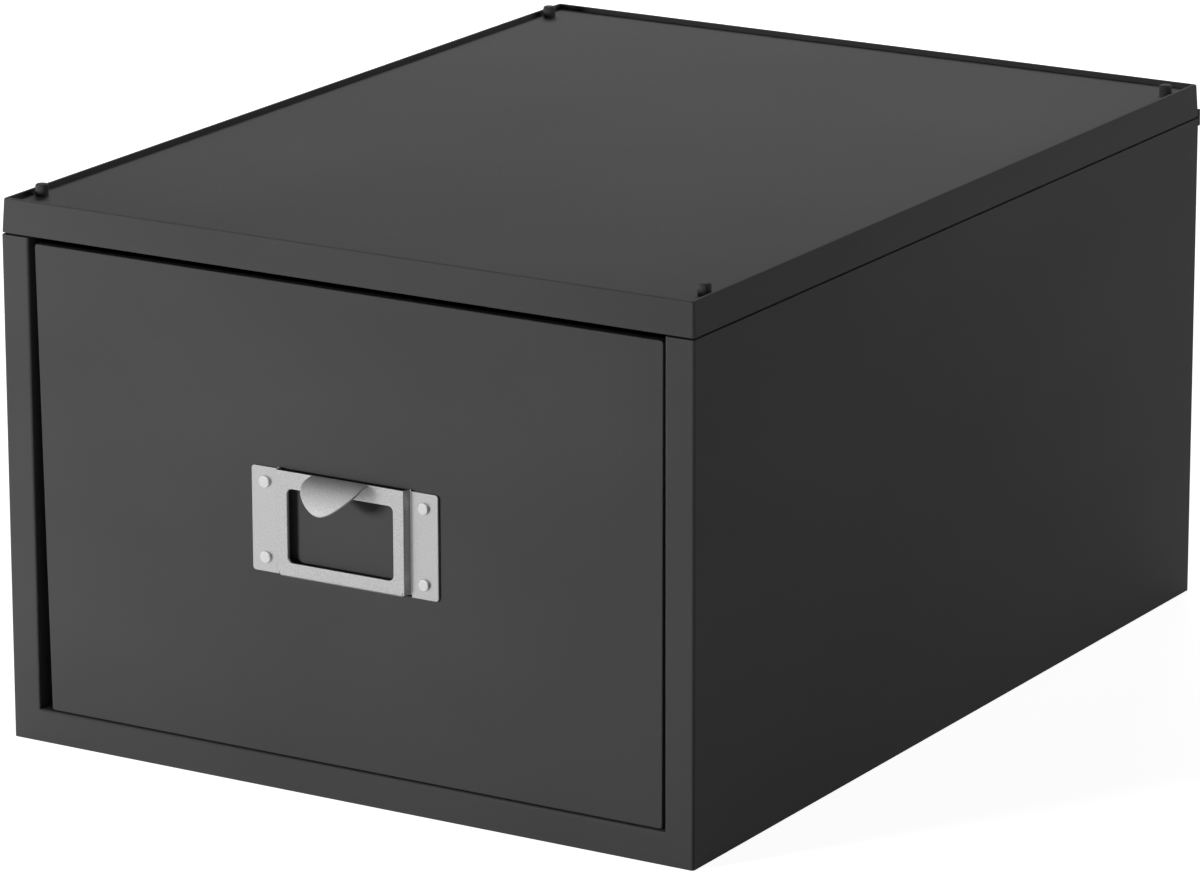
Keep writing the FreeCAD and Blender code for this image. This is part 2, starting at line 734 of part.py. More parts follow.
def tray_side_spans():
    """Give the X limits of the tray's two leaning sides."""
    spans = []
    for side in (-1, 1):
        edges = (worth(f"{PANEL_X} + ({side}) * {TRAY_BASE_HALF}"),
                 worth(f"{PANEL_X} + ({side}) * {TRAY_TOP_HALF}"))
        spans.append((min(edges), max(edges)))
    return spans


def make_tray_rim(body):
    """Turn the rim outwards along the sides and the back."""
    rim = sketch_on(body, "tray_rim_outline", "XY_Plane", TRAY_TOP_Z)
    inner = f"({TRAY_TOP_HALF} - tray_wall / 2)"
    outer = f"({TRAY_TOP_HALF} + tray_lip)"
    front = f"({PANEL_BACK_Y})"
    back = f"({TRAY_BACK_Y} + tray_lip)"
    back_inner = f"({TRAY_BACK_Y} - tray_wall / 2)"
    outline(rim, (
        (f"{PANEL_X} - {outer}", front), (f"{PANEL_X} - {inner}", front),
        (f"{PANEL_X} - {inner}", back_inner), (f"{PANEL_X} + {inner}", back_inner),
        (f"{PANEL_X} + {inner}", front), (f"{PANEL_X} + {outer}", front),
        (f"{PANEL_X} + {outer}", back), (f"{PANEL_X} - {outer}", back),
    ))
    pad(body, "tray_rim", rim, "tray_lip_height", reverse=True)


def make_tray_hook(body):
    """Hang the hook that meets the drawer stop under the tray's rear edge."""
    hook = sketch_on(body, "hook_outline", "XY_Plane", f"{TRAY_Z} + tray_wall / 2")
    rectangle(hook, f"{PANEL_X} - hook_width / 2", f"{PANEL_X} + hook_width / 2", HOOK_Y,
              f"{TRAY_BACK_Y} - tray_round / 2")
    pad(body, "hook", hook, f"{TRAY_Z} + tray_wall / 2 - {FLOOR_Z} - hook_clearance", reverse=True)


def make_tray_holes(body):
    """Bore the front wall for the screw bosses, and give the rivets' tails room."""
    holes = sketch_on(body, "tray_hole_outline", "XZ_Plane", f"-{PANEL_BACK_Y}")
    for _, spot_x, spot_z in screw_spots():
        circle(holes, spot_x, spot_z, "boss_radius + boss_fit")
    for _, spot_x, spot_z in rivet_spots():
        circle(holes, spot_x, spot_z, "washer_radius + tail_room")
    pocket(body, "tray_holes", holes, "tray_wall")


def make_label_holder():
    """Stamped steel label holder: flanges, a raised frame with a window and a lip, and a tongue."""
    strip = new_body("holder_strip")
    plan = sketch_on(strip, "strip_outline", "XY_Plane", HOLDER_BOTTOM_Z)
    half = "(holder_width / 2)"
    foot = f"({half} - flange_width)"
    face = f"{PANEL_Y} - holder_sheet"
    under = f"{RAISED_Y} + holder_sheet"
    outline(plan, [
        (f"{HOLDER_X} + {across}", along)
        for across, along in (
            (f"-{half}", PANEL_Y), (f"-{half}", face), (f"-{foot}", face),
            (f"-{RAISED_HALF}", RAISED_Y), (RAISED_HALF, RAISED_Y), (foot, face),
            (half, face), (half, PANEL_Y), (f"({foot} - holder_sheet)", PANEL_Y),
            (f"({RAISED_HALF} - holder_sheet)", under),
            (f"(holder_sheet - {RAISED_HALF})", under),
            (f"(holder_sheet - {foot})", PANEL_Y),
        )
    ])
    pad(strip, "strip", plan, "holder_height + frame_rise")

    window = sketch_on(strip, "window_outline", "XZ_Plane", f"-{RAISED_Y}")
    rectangle(window, f"{HOLDER_X} - window_width / 2", f"{HOLDER_X} + window_width / 2",
              f"{PANEL_MID_Z} - window_height / 2", f"{PANEL_MID_Z} + window_height / 2")
    pocket(strip, "window", window, "holder_step")

    tops = sketch_on(strip, "flange_top_outline", "XZ_Plane", f"-{RAISED_Y}")
    for start, end in ((f"-{half}", f"-{foot}"), (foot, half)):
        rectangle(tops, f"{HOLDER_X} + {start}", f"{HOLDER_X} + {end}", FLANGE_TOP_Z, HOLDER_TOP_Z)
    pocket(strip, "flange_tops", tops, "holder_step")

    edge = sketch_on(strip, "lower_edge_outline", "XZ_Plane", f"-{RAISED_Y}")
    rectangle(edge, f"{HOLDER_X} - {foot}", f"{HOLDER_X} + {foot}",
              HOLDER_BOTTOM_Z, f"{HOLDER_BOTTOM_Z} + lip_round")
    pocket(strip, "lower_edge", edge, "holder_sheet")

    reliefs = sketch_on(strip, "relief_outline", "XZ_Plane", f"-{RAISED_Y}")
    inner = f"({RAISED_HALF} - holder_sheet)"
    for start, end in ((f"-{foot}", f"-{inner}"), (inner, foot)):
        rectangle(reliefs, f"{HOLDER_X} + {start}", f"{HOLDER_X} + {end}",
                  HOLDER_BOTTOM_Z, f"{HOLDER_BOTTOM_Z} + lip_relief")
    pocket(strip, "reliefs", reliefs, "holder_step")

    holes = sketch_on(strip, "holder_rivet_outline", "XZ_Plane", f"-({PANEL_Y} - holder_sheet)")
    for _, spot_x, spot_z in rivet_spots():
        circle(holes, spot_x, spot_z, "rivet_shank_radius + fastener_fit")
    pocket(strip, "holder_rivet_holes", holes, "holder_sheet")

    middle, level = worth(HOLDER_X), worth(PANEL_MID_Z)
    window_x, window_z = worth("window_width / 2"), worth("window_height / 2")
    outer_x, outer_z = worth(half), worth("holder_height / 2")
    round_edges(strip, "window_corners", "window_corner", *(
        {"X": on(middle + side * window_x), "Z": on(level + rise * window_z)} for side, rise in CORNERS))
    round_edges(strip, "holder_corners", "holder_corner", *(
        {"X": on(middle + side * outer_x), "Z": on(level + rise * outer_z)} for side, rise in CORNERS))
    return fuse("label_holder", [strip, make_lower_lip(), make_tongue()])


def bent_sheet(name, place, directions, sizes):
    """Make a bend of the holder's sheet about an axis that runs to the right from a place.

    The bend turns from the first direction to the second. The sizes are its outer radius, its
    width along the axis and its angle.
    """
    radius, width, angle = sizes
    sectors = []
    for word, reach in (("outside", radius), ("inside", f"{radius} - holder_sheet")):
        sector = doc.addObject("Part::Cylinder", f"{name}_{word}")
        sector.Placement.Rotation = FreeCAD.Rotation(*directions, FreeCAD.Vector(1, 0, 0), "ZXY")
        for axis, formula in zip("xyz", place):
            bind(sector, f"Placement.Base.{axis}", formula)
        for prop, formula in (("Radius", reach), ("Height", width), ("Angle", angle)):
            bind(sector, prop, formula)
        sectors.append(sector)
    return cut(f"{name}_bent", *sectors)


def make_lower_lip():
    """Lower edge of the raised frame, bent back towards the panel so that a label stands on it."""
    start_x = f"{HOLDER_X} - {RAISED_HALF}"
    axis_y, axis_z = f"({RAISED_Y} + lip_round)", f"({HOLDER_BOTTOM_Z} + lip_round)"
    forward, down = FreeCAD.Vector(0, -1, 0), FreeCAD.Vector(0, 0, -1)
    bend = bent_sheet("lip", (start_x, axis_y, axis_z), (forward, down),
                      ("lip_round", f"2 * {RAISED_HALF}", "90"))
    shelf = box(
        "lip_shelf",
        (start_x, axis_y, HOLDER_BOTTOM_Z),
        (f"{HOLDER_X} + {RAISED_HALF}", f"{PANEL_Y} - lip_play", f"{HOLDER_BOTTOM_Z} + holder_sheet"),
    )
    return fuse("lower_lip", [bend, shelf])


def make_tongue():
    """Finger tongue: a rounded tab bent forwards and down from the frame's top edge."""
    start_x = f"{HOLDER_X} - tongue_width / 2"
    level = f"{HOLDER_TOP_Z} - tongue_radius"
    up, forward = FreeCAD.Vector(0, 0, 1), FreeCAD.Vector(0, -1, 0)
    bent = bent_sheet("tongue", (start_x, BEND_Y, level), (up, forward),
                      ("tongue_radius", "tongue_width", "tongue_sweep"))

    tip = doc.addObject("Part::Ellipse", "tongue_tip")
    bind(tip, "MajorRadius", "tongue_width / 2")
    bind(tip, "MinorRadius", "tongue_radius * sin(tongue_sweep * 1 deg) - tongue_straight")
    for axis, formula in zip("xyz", (HOLDER_X, f"{BEND_Y} - tongue_straight", level)):
        bind(tip, f"Placement.Base.{axis}", formula)
    rounded = doc.addObject("Part::Extrusion", "tongue_rounded_end")
    rounded.Base = tip
    rounded.Dir = up
    rounded.Solid = True
    bind(rounded, "LengthFwd", "tongue_radius + holder_sheet")
    straight = box(
        "tongue_straight_part",
        (start_x, f"{BEND_Y} - tongue_straight", level),
        (f"{HOLDER_X} + tongue_width / 2", BEND_Y, f"{HOLDER_TOP_Z} + holder_sheet"),
    )
    plan = fuse("tongue_plan", [rounded, straight])
    tongue = doc.addObject("Part::MultiCommon", "tongue")
    tongue.Shapes = [bent, plan]
    return tongue


def make_holder_rivets():
    """Four rivets, headed over the flanges and set against washers behind the panel."""
    rivets = []
    sheet_face = f"({PANEL_Y} - holder_sheet)"
    crown = f"({sheet_face} - rivet_head_height)"
    middle = f"({crown} + rivet_head_height / 2)"
    for number, spot_x, spot_z in rivet_spots():
        head = rod_back(f"rivet_head_{number}", (spot_x, crown, spot_z),
                        "rivet_head_radius", "rivet_head_height")
        shank = rod_back(f"rivet_shank_{number}", (spot_x, middle, spot_z),
                         "rivet_shank_radius", f"{WASHER_BACK_Y} + rivet_tail_height - {middle}")
        tail = rod_back(f"rivet_tail_{number}", (spot_x, WASHER_BACK_Y, spot_z),
                        "rivet_tail_radius", "rivet_tail_height")
        bevelled = bevel(f"rivet_crown_{number}", head, "rivet_head_bevel", {"Y": on(worth(crown))})
        rivets.append(fuse(f"rivet_{number}", [bevelled, shank, tail]))
    return group("holder_rivets", rivets)


def make_rivet_washers():
    """Four washers that spread the rivets' pull behind the front panel."""
    washers = []
    for number, spot_x, spot_z in rivet_spots():
        place = (spot_x, PANEL_BACK_Y, spot_z)
        disc = rod_back(f"washer_disc_{number}", place, "washer_radius", "washer_thickness")
        hole = rod_back(f"washer_hole_{number}", place,
                        "rivet_shank_radius + fastener_fit", "washer_thickness")
        washers.append(cut(f"washer_{number}", disc, hole))
    return group("rivet_washers", washers)


def make_front_screws():
    """Four short screws that pull the tray against the front panel from inside."""
    screws = []
    for number, spot_x, spot_z in screw_spots():
        head = rod_back(f"screw_head_{number}", (spot_x, TRAY_FACE_Y, spot_z),
                        "screw_head_radius", "screw_head_height")
        shank = rod_back(f"screw_shank_{number}", (spot_x, f"{TRAY_FACE_Y} - screw_depth", spot_z),
                         "screw_radius", "screw_depth + screw_head_height / 2")
        screws.append(fuse(f"screw_{number}", [head, shank]))
    return group("front_screws", screws)


# --- Assembly -------------------------------------------------------------------------------

nodes = [make_case_shell(), make_top_panel()]
nodes += [make_lid_clip(f"lid_clip_{word}", side) for word, side in LEFT_AND_RIGHT]
nodes += [make_runner(f"runner_{word}", side) for word, side in LEFT_AND_RIGHT]
nodes += [
    make_drawer_tray(),
    make_drawer_front(),
    make_front_screws(),
    make_label_holder(),
    make_holder_rivets(),
    make_rivet_washers(),
]
doc.recompute()

for thing in doc.Objects:
    if {"Invalid", "Error"} & set(thing.State):
        raise RuntimeError(f"{thing.Name} did not build: {thing.State}")
for node in nodes:
    if node.Shape.isNull() or not node.Shape.isValid():
        raise RuntimeError(f"{node.Label} has no valid shape")

os.makedirs("parts", exist_ok=True)
for node in nodes:
    node.Shape.exportStep(f"parts/{node.Label}.step")
    bounds = node.Shape.BoundBox
    print(f"{node.Label}: {len(node.Shape.Solids)} solids, {node.Shape.Volume:.0f} mm3, "
          f"X {bounds.XMin:.2f}..{bounds.XMax:.2f}, Y {bounds.YMin:.2f}..{bounds.YMax:.2f}, "
          f"Z {bounds.ZMin:.2f}..{bounds.ZMax:.2f}")
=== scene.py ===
"""Desktop file drawer: a moulded case with a stacking lid, and a drawer with a riveted steel label holder.

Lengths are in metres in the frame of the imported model: x runs to the right, the drawer opens
towards -y, and z runs up from the foot rim. Each sub-assembly is a class that holds its own sizes.
"""

import logging
import math
from collections.abc import Callable, Iterable, Sequence
from dataclasses import dataclass, field
from enum import Enum

import bmesh
import bpy
from mathutils import Matrix, Vector
from mathutils.geometry import delaunay_2d_cdt


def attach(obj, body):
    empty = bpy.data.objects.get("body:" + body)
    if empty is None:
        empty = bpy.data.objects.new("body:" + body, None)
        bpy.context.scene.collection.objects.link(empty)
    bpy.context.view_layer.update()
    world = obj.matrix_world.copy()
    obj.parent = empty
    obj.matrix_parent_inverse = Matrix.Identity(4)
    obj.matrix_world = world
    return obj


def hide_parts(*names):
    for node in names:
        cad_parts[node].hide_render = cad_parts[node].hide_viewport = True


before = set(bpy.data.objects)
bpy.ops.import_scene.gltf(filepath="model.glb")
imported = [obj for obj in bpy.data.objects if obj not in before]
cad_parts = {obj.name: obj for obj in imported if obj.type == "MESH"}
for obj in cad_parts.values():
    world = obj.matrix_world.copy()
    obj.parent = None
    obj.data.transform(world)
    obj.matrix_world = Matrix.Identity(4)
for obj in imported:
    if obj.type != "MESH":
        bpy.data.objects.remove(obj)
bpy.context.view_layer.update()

LOG = logging.getLogger("file_drawer")
MM = 0.001

Colour = tuple[float, float, float]
Place = tuple[float, float, float]
Point = tuple[float, float]
Piece = bpy.types.Object
Shape = bmesh.types.BMesh
Socket = bpy.types.NodeSocket
EdgeRule = Callable[[bmesh.types.BMEdge], bool]


class Body(Enum):
    """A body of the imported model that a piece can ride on."""

    CASE = "case"
    DRAWER = "drawer"


class Slot(Enum):
    """A material slot of the record."""

    CASE_PLASTIC = "case_plastic"
    SATIN_STEEL = "satin_steel"
    RIVET_STEEL = "rivet_steel"
    ZINC_SCREW = "zinc_screw"


class Axis(Enum):
    """The axis that a turned piece is turned about."""

    Y = 1
    Z = 2


class Ramp(Enum):
    """How a range of values runs from its low end to its high end."""

    EVEN = "LINEAR"
    SOFT = "SMOOTHSTEP"


# ---------------------------------------------------------------- node trees


@dataclass
class NodeBoard:
    """A node tree, with short calls to add nodes to it."""

    tree: bpy.types.NodeTree

    def add(self, kind: str, values: dict[str | int, object] | None = None,
            **settings: object) -> bpy.types.Node:
        """Adds one node.

        Args:
            kind: The node's type name.
            values: What its inputs get, by name or number: a constant, or an output socket to link.
            **settings: The node's own properties.

        Returns:
            The new node.
        """
        node = self.tree.nodes.new(kind)
        for key, setting in settings.items():
            setattr(node, key, setting)
        for key, value in (values or {}).items():
            if isinstance(value, Socket):
                self.tree.links.new(value, node.inputs[key])
            else:
                node.inputs[key].default_value = value
        return node

    def math(self, operation: str, *values: Socket | float) -> Socket:
        """Adds a Math node for sockets or numbers, and returns its result."""
        return self.add("ShaderNodeMath", dict(enumerate(values)), operation=operation).outputs[0]


@dataclass
class ShaderBoard(NodeBoard):
    """A material's or the surroundings' node tree."""

    @classmethod
    def for_material(cls, name: str) -> tuple["ShaderBoard", bpy.types.Material]:
        """Starts an empty material.

        Args:
            name: The material's name.

        Returns:
            The board of the material's nodes, and the material.
        """
        material = bpy.data.materials.new(name)
        material.use_nodes = True
        material.node_tree.nodes.clear()
        return cls(material.node_tree), material

    def largest(self, first: Socket, *others: Socket | float) -> Socket:
        """Takes the largest of some values.

        Args:
            first: A value.
            *others: The others.

        Returns:
            The largest one.
        """
        for other in others:
            first = self.math("MAXIMUM", first, other)
        return first

    def grain(self, size: float, stretch: Place = (1.0, 1.0, 1.0), detail: float = 3.0,
              roughness: float = 0.55) -> Socket:
        """Adds a noise on the piece's own coordinates.

        Args:
            size: The length of one grain, in metres.
            stretch: How much longer a grain is along x, y and z.
            detail: The noise's octaves.
            roughness: How strong the finer octaves are.

        Returns:
            The noise's value, about 0.5 in the middle.
        """
        place = self.add("ShaderNodeTexCoord")
        turn = self.add("ShaderNodeMapping", {
            "Vector": place.outputs["Object"], "Scale": tuple(1.0 / s for s in stretch)})
        noise = self.add("ShaderNodeTexNoise", {
            "Vector": turn.outputs["Vector"], "Scale": 1.0 / size, "Detail": detail, "Roughness": roughness})
        return noise.outputs["Fac"]

    def spread(self, value: Socket, low: Socket | float, high: float, start: float = 0.3,
               end: float = 0.7, ramp: Ramp = Ramp.EVEN) -> Socket:
        """Maps a range of values, by default that of a noise, to another one.

        Args:
            value: The value.
            low: The result at start.
            high: The result at end.
            start: The value for low.
            end: The value for high.
            ramp: How the result runs from low to high.

        Returns:
            The mapped value.
        """
        node = self.add("ShaderNodeMapRange", {
            "Value": value, "From Min": start, "From Max": end, "To Min": low, "To Max": high},
            interpolation_type=ramp.value)
        return node.outputs["Result"]

    def blend_colours(self, amount: Socket, first: Colour, second: Colour) -> Socket:
        """Mixes two colours by a value from 0 to 1, and returns the mix.

        Args:
            amount: The share of the second colour.
            first: The colour at 0.
            second: The colour at 1.

        Returns:
            The mixed colour.
        """
        mix = self.add("ShaderNodeMix", {"Factor": amount}, data_type="RGBA")
        colours = {"A_Color": first, "B_Color": second}
        for socket in mix.inputs:
            if socket.identifier in colours:
                socket.default_value = (*colours[socket.identifier], 1.0)
        return next(s for s in mix.outputs if s.identifier == "Result_Color")

    def around(self, value: Socket, middle: float, change: float) -> Socket:
        """Maps a noise to the values around a middle, by a change up and down."""
        return self.spread(value, middle - change, middle + change)

    def bump(self, height: Socket, depth: float) -> Socket:
        """Adds a bump of a real depth.

        Args:
            height: The relief, from 0 to 1.
            depth: The relief's depth in metres.

        Returns:
            The bumped normal.
        """
        node = self.add("ShaderNodeBump", {"Height": height, "Strength": 1.0, "Distance": depth})
        return node.outputs["Normal"]

    def surface(self, values: dict[str, object]) -> None:
        """Ends a material in a Principled shader with the given inputs."""
        self.finish(self.add("ShaderNodeBsdfPrincipled", values).outputs["BSDF"])

    def finish(self, shader: Socket, kind: str = "ShaderNodeOutputMaterial") -> None:
        """Joins a shader to the output of the material, or of the surroundings."""
        self.add(kind, {"Surface": shader})


@dataclass
class GeometryTree(NodeBoard):
    """A Geometry Nodes tree with named inputs, which starts from a piece and ends in its material."""

    entry: bpy.types.Node = field(init=False)
    exit: bpy.types.Node = field(init=False)

    def __post_init__(self) -> None:
        """Gives the tree its geometry and material sockets."""
        self.tree.interface.new_socket("Geometry", in_out="INPUT", socket_type="NodeSocketGeometry")
        self.tree.interface.new_socket("Geometry", in_out="OUTPUT", socket_type="NodeSocketGeometry")
        self.tree.interface.new_socket("Material", in_out="INPUT", socket_type="NodeSocketMaterial")
        self.entry = self.add("NodeGroupInput")
        self.exit = self.add("NodeGroupOutput")

    @classmethod
    def named(cls, name: str) -> "GeometryTree":
        """Starts an empty tree."""
        return cls(bpy.data.node_groups.new(name, "GeometryNodeTree"))

    def size(self, name: str, kind: str = "NodeSocketFloat") -> Socket:
        """Adds a named input and returns its socket inside the tree."""
        self.tree.interface.new_socket(name, in_out="INPUT", socket_type=kind)
        return self.entry.outputs[name]

    def vector(self, name: str) -> Socket:
        """Adds a named vector input and returns its socket inside the tree."""
        return self.size(name, "NodeSocketVector")

    def close(self, geometry: Socket) -> None:
        """Ends the tree in Realize Instances and Set Material.

        Args:
            geometry: What the tree has made.
        """
        whole = self.add("GeometryNodeRealizeInstances", {"Geometry": geometry})
        paint = self.add("GeometryNodeSetMaterial", {
            "Geometry": whole.outputs["Geometry"], "Material": self.entry.outputs["Material"]})
        self.tree.links.new(paint.outputs["Geometry"], self.exit.inputs["Geometry"])

    def repeat(self, points: Socket, **turns: Socket) -> None:
        """Sets the piece on each point, with its Rotation if one is given, and ends the tree.

        Args:
            points: The points.
            **turns: The socket of the piece's Rotation, if it has one.
        """
        placed = self.add("GeometryNodeInstanceOnPoints", {
            "Points": points, "Instance": self.entry.outputs["Geometry"], **turns})
        self.close(placed.outputs["Instances"])


def freeze(piece: Piece) -> None:
    """Keeps what a piece's modifiers make as its plain mesh, and removes them.

    Args:
        piece: The piece.
    """
    depsgraph = bpy.context.evaluated_depsgraph_get()
    made = bpy.data.meshes.new_from_object(piece.evaluated_get(depsgraph))
    piece.modifiers.clear()
    piece.data = made


def grow(piece: Piece, tree: bpy.types.GeometryNodeTree, values: dict[str, object]) -> Piece:
    """Runs a Geometry Nodes tree on a piece and keeps the result as a plain mesh.

    Args:
        piece: The piece that the tree starts from.
        tree: The tree.
        values: The tree's inputs, by name.

    Returns:
        The piece, with its new mesh and no modifier.
    """
    modifier = piece.modifiers.new(tree.name, "NODES")
    modifier.node_group = tree
    for item in tree.interface.items_tree:
        if item.item_type == "SOCKET" and item.in_out == "INPUT" and item.name in values:
            modifier[item.identifier] = values[item.name]
    freeze(piece)
    return piece


def scatter_tree(name: str) -> bpy.types.GeometryNodeTree:
    """Makes the tree that sets one fastener or peg at the four corners of a rectangle.

    Args:
        name: The tree's name.

    Returns:
        The tree. Its inputs are Across, Along, Facing, Centre, Turn and Material.
    """
    board = GeometryTree.named(name)
    across, along = board.size("Across"), board.size("Along")
    facing, centre, turn = board.vector("Facing"), board.vector("Centre"), board.vector("Turn")
    corners = board.add("GeometryNodeMeshGrid", {
        "Size X": across, "Size Y": along, "Vertices X": 2, "Vertices Y": 2})
    stand = board.add("GeometryNodeTransform", {
        "Geometry": corners.outputs["Mesh"], "Translation": centre, "Rotation": facing})
    spin = board.add("FunctionNodeRandomValue", {"Max": turn, "Seed": 7}, data_type="FLOAT_VECTOR")
    board.repeat(stand.outputs["Geometry"], Rotation=spin.outputs["Value"])
    return board.tree


def row_tree(name: str) -> bpy.types.GeometryNodeTree:
    """Makes the tree that repeats one rib along a straight row.

    Args:
        name: The tree's name.

    Returns:
        The tree. Its inputs are Count, Start, Pitch and Material.
    """
    board = GeometryTree.named(name)
    count, start, pitch = board.size("Count", "NodeSocketInt"), board.vector("Start"), board.vector("Pitch")
    line = board.add("GeometryNodeMeshLine", {"Count": count, "Start Location": start, "Offset": pitch},
                     mode="OFFSET")
    board.repeat(line.outputs["Mesh"])
    return board.tree


def curl_tree(name: str) -> bpy.types.GeometryNodeTree:
    """Makes the tree that rolls a flat tab down around a cylinder that lies along x.

    The tab lies with y as its reach in plan and z as its depth under the outer face.

    Args:
        name: The tree's name.

    Returns:
        The tree. Its inputs are Radius, Axis Y, Axis Z and Material.
    """
    board = GeometryTree.named(name)
    radius, axis_y, axis_z = board.size("Radius"), board.size("Axis Y"), board.size("Axis Z")
    place = board.add("GeometryNodeInputPosition")
    split = board.add("ShaderNodeSeparateXYZ", {"Vector": place.outputs["Position"]})
    angle = board.math("ARCSINE", board.math("DIVIDE", split.outputs["Y"], radius))
    arm = board.math("ADD", radius, split.outputs["Z"])
    reach = board.math("MULTIPLY", arm, board.math("SINE", angle))
    rise = board.math("MULTIPLY", arm, board.math("COSINE", angle))
    bent = board.add("ShaderNodeCombineXYZ", {
        "X": split.outputs["X"],
        "Y": board.math("SUBTRACT", axis_y, reach),
        "Z": board.math("ADD", axis_z, rise)})
    move = board.add("GeometryNodeSetPosition", {
        "Geometry": board.entry.outputs["Geometry"], "Position": bent.outputs["Vector"]})
    board.close(move.outputs["Geometry"])
    return board.tree


# ---------------------------------------------------------------- finishes


def shades(colour: Colour, change: float) -> tuple[Colour, Colour]:
    """Gives the darker and the lighter shade of a colour, by a share of it and none over white."""
    darker, lighter = (tuple(min(1.0, c * share) for c in colour) for share in (1.0 - change, 1.0 + change))
    return darker, lighter


@dataclass(frozen=True)
class MouldedPlastic:
    """Injection-moulded plastic with the fine even grain of an etched mould."""

    name: str
    colour: Colour
    roughness: float = 0.52
    gloss_change: float = 0.05
    specular: float = 0.04
    grain_size: float = 0.00045
    grain_depth: float = 0.000012
    flow_size: float = 0.09
    flow_stretch: Place = (1.0, 1.6, 0.7)
    flow_change: float = 0.05

    def material(self) -> bpy.types.Material:
        """Builds the material: colour drift from the moulding flow, then satin grain in gloss and relief.

        Returns:
            The material.
        """
        board, material = ShaderBoard.for_material(self.name)
        flow = board.spread(board.grain(self.flow_size, self.flow_stretch, detail=2.0), 0.0, 1.0)
        fine = board.grain(self.grain_size, detail=2.0)
        board.surface({
            "Base Color": board.blend_colours(flow, *shades(self.colour, self.flow_change)),
            "Roughness": board.around(fine, self.roughness, self.gloss_change),
            "Specular IOR Level": self.specular,
            "Normal": board.bump(fine, self.grain_depth)})
        return material


@dataclass(frozen=True)
class RolledSteel:
    """Steel with a matt rolled or plated grain."""

    name: str
    colour: Colour
    roughness: float = 0.30
    speck_size: float = 0.0004
    speck_change: float = 0.10
    speck_range: tuple[float, float] = (0.25, 0.75)
    cloud_size: float = 0.006
    gloss_change: float = 0.02
    metal: float = 0.75
    relief: float = 0.000004

    def material(self) -> bpy.types.Material:
        """Builds the material: speckled tone, a cloudy gloss, and a shallow relief.

        Returns:
            The material.
        """
        board, material = ShaderBoard.for_material(self.name)
        speck = board.grain(self.speck_size, detail=1.0, roughness=0.6)
        tone = board.spread(speck, 0.0, 1.0, *self.speck_range)
        cloud = board.grain(self.cloud_size)
        board.surface({
            "Base Color": board.blend_colours(tone, *shades(self.colour, self.speck_change)),
            "Metallic": self.metal,
            "Roughness": board.around(cloud, self.roughness, self.gloss_change),
            "Normal": board.bump(speck, self.relief)})
        return material


Finish = MouldedPlastic | RolledSteel

CASE_FINISH = MouldedPlastic("case plastic", (0.076, 0.076, 0.078))
TRAY_FINISH = MouldedPlastic("tray plastic", (0.070, 0.070, 0.072), roughness=0.46, grain_depth=0.000006)
RUNNER_FINISH = MouldedPlastic("runner plastic", (0.60, 0.60, 0.58), roughness=0.34, specular=0.3,
                               grain_depth=0.000004, flow_size=0.03, flow_change=0.03)
HOLDER_FINISH = RolledSteel("satin steel", (0.52, 0.52, 0.52), roughness=0.32, speck_change=0.16, metal=0.68)
# The tongue is the frame's own sheet. Its lighter colour is painted light, standing in for the light that its
# curl catches.
TONGUE_PAINTED_LIGHT_FINISH = RolledSteel("lightened tongue steel", (0.58, 0.58, 0.58), roughness=0.46, speck_change=0.16, metal=0.45)
RIVET_FINISH = RolledSteel("rivet steel", (0.68, 0.68, 0.68), roughness=0.34, speck_change=0.05)
SCREW_FINISH = RolledSteel("zinc plate", (0.55, 0.56, 0.58), roughness=0.33, speck_size=0.0006,
                           speck_change=0.12)


@dataclass
class Paintbox:
    """Builds each finish's material once and hands it out."""

    made: dict[str, bpy.types.Material] = field(default_factory=dict)

    def coat(self, finish: Finish) -> bpy.types.Material:
        """Gives the material of a finish.

        Args:
            finish: The finish.

        Returns:
            Its material.
        """
        if finish.name not in self.made:
            self.made[finish.name] = finish.material()
        return self.made[finish.name]


# ---------------------------------------------------------------- mesh tools


@dataclass(frozen=True)
class RoundedRectangle:
    """A rectangle with rounded corners in a flat plane."""

    half_width: float
    half_height: float
    radius: float
    steps: int = 6

    def outline(self, marks: Iterable[float] = ()) -> list[Point]:
        """Gives the outline's points, anticlockwise from the lower right corner.

        Args:
            marks: Places along the width where the long edges get a point of their own.

        Returns:
            The points.
        """
        points = []
        ordered = sorted(marks)
        for number, (sx, sy) in enumerate(((1, -1), (1, 1), (-1, 1), (-1, -1))):
            centre = (sx * (self.half_width - self.radius), sy * (self.half_height - self.radius))
            points += arc(centre, self.radius, 90 * number - 90, 90 * number, self.steps)
            if number == 1:
                points += [(mark, self.half_height) for mark in reversed(ordered)]
            if number == 3:
                points += [(mark, -self.half_height) for mark in ordered]
        return points


@dataclass(frozen=True)
class FlatOutline:
    """A closed outline in a flat plane, anticlockwise."""

    points: tuple[Point, ...]
    least_slant: float = 0.4

    def inset(self, distance: float) -> "FlatOutline":
        """Gives the outline moved inwards by a distance, or outwards for a negative one.

        Args:
            distance: The distance.

        Returns:
            The moved outline, with the same number of points.
        """
        moved = []
        size = len(self.points)
        for place, corner in enumerate(self.points):
            here = Vector(corner)
            arriving = (here - Vector(self.points[place - 1])).normalized()
            leaving = (Vector(self.points[(place + 1) % size]) - here).normalized()
            inward = Vector((-arriving.y - leaving.y, arriving.x + leaving.x)).normalized()
            reach = distance / max(self.least_slant, inward.dot(Vector((-arriving.y, arriving.x))))
            moved.append(tuple(here + inward * reach))
        return FlatOutline(tuple(moved))

    def holds(self, x: float, y: float) -> bool:
        """Tells whether a point lies inside.

        Args:
            x: The point's place across.
            y: The point's place up.

        Returns:
            Whether it lies inside.
        """
        inside = False
        for (ax, ay), (bx, by) in zip(self.points, self.points[1:] + self.points[:1]):
            if (ay > y) != (by > y) and x < ax + (y - ay) * (bx - ax) / (by - ay):
                inside = not inside
        return inside


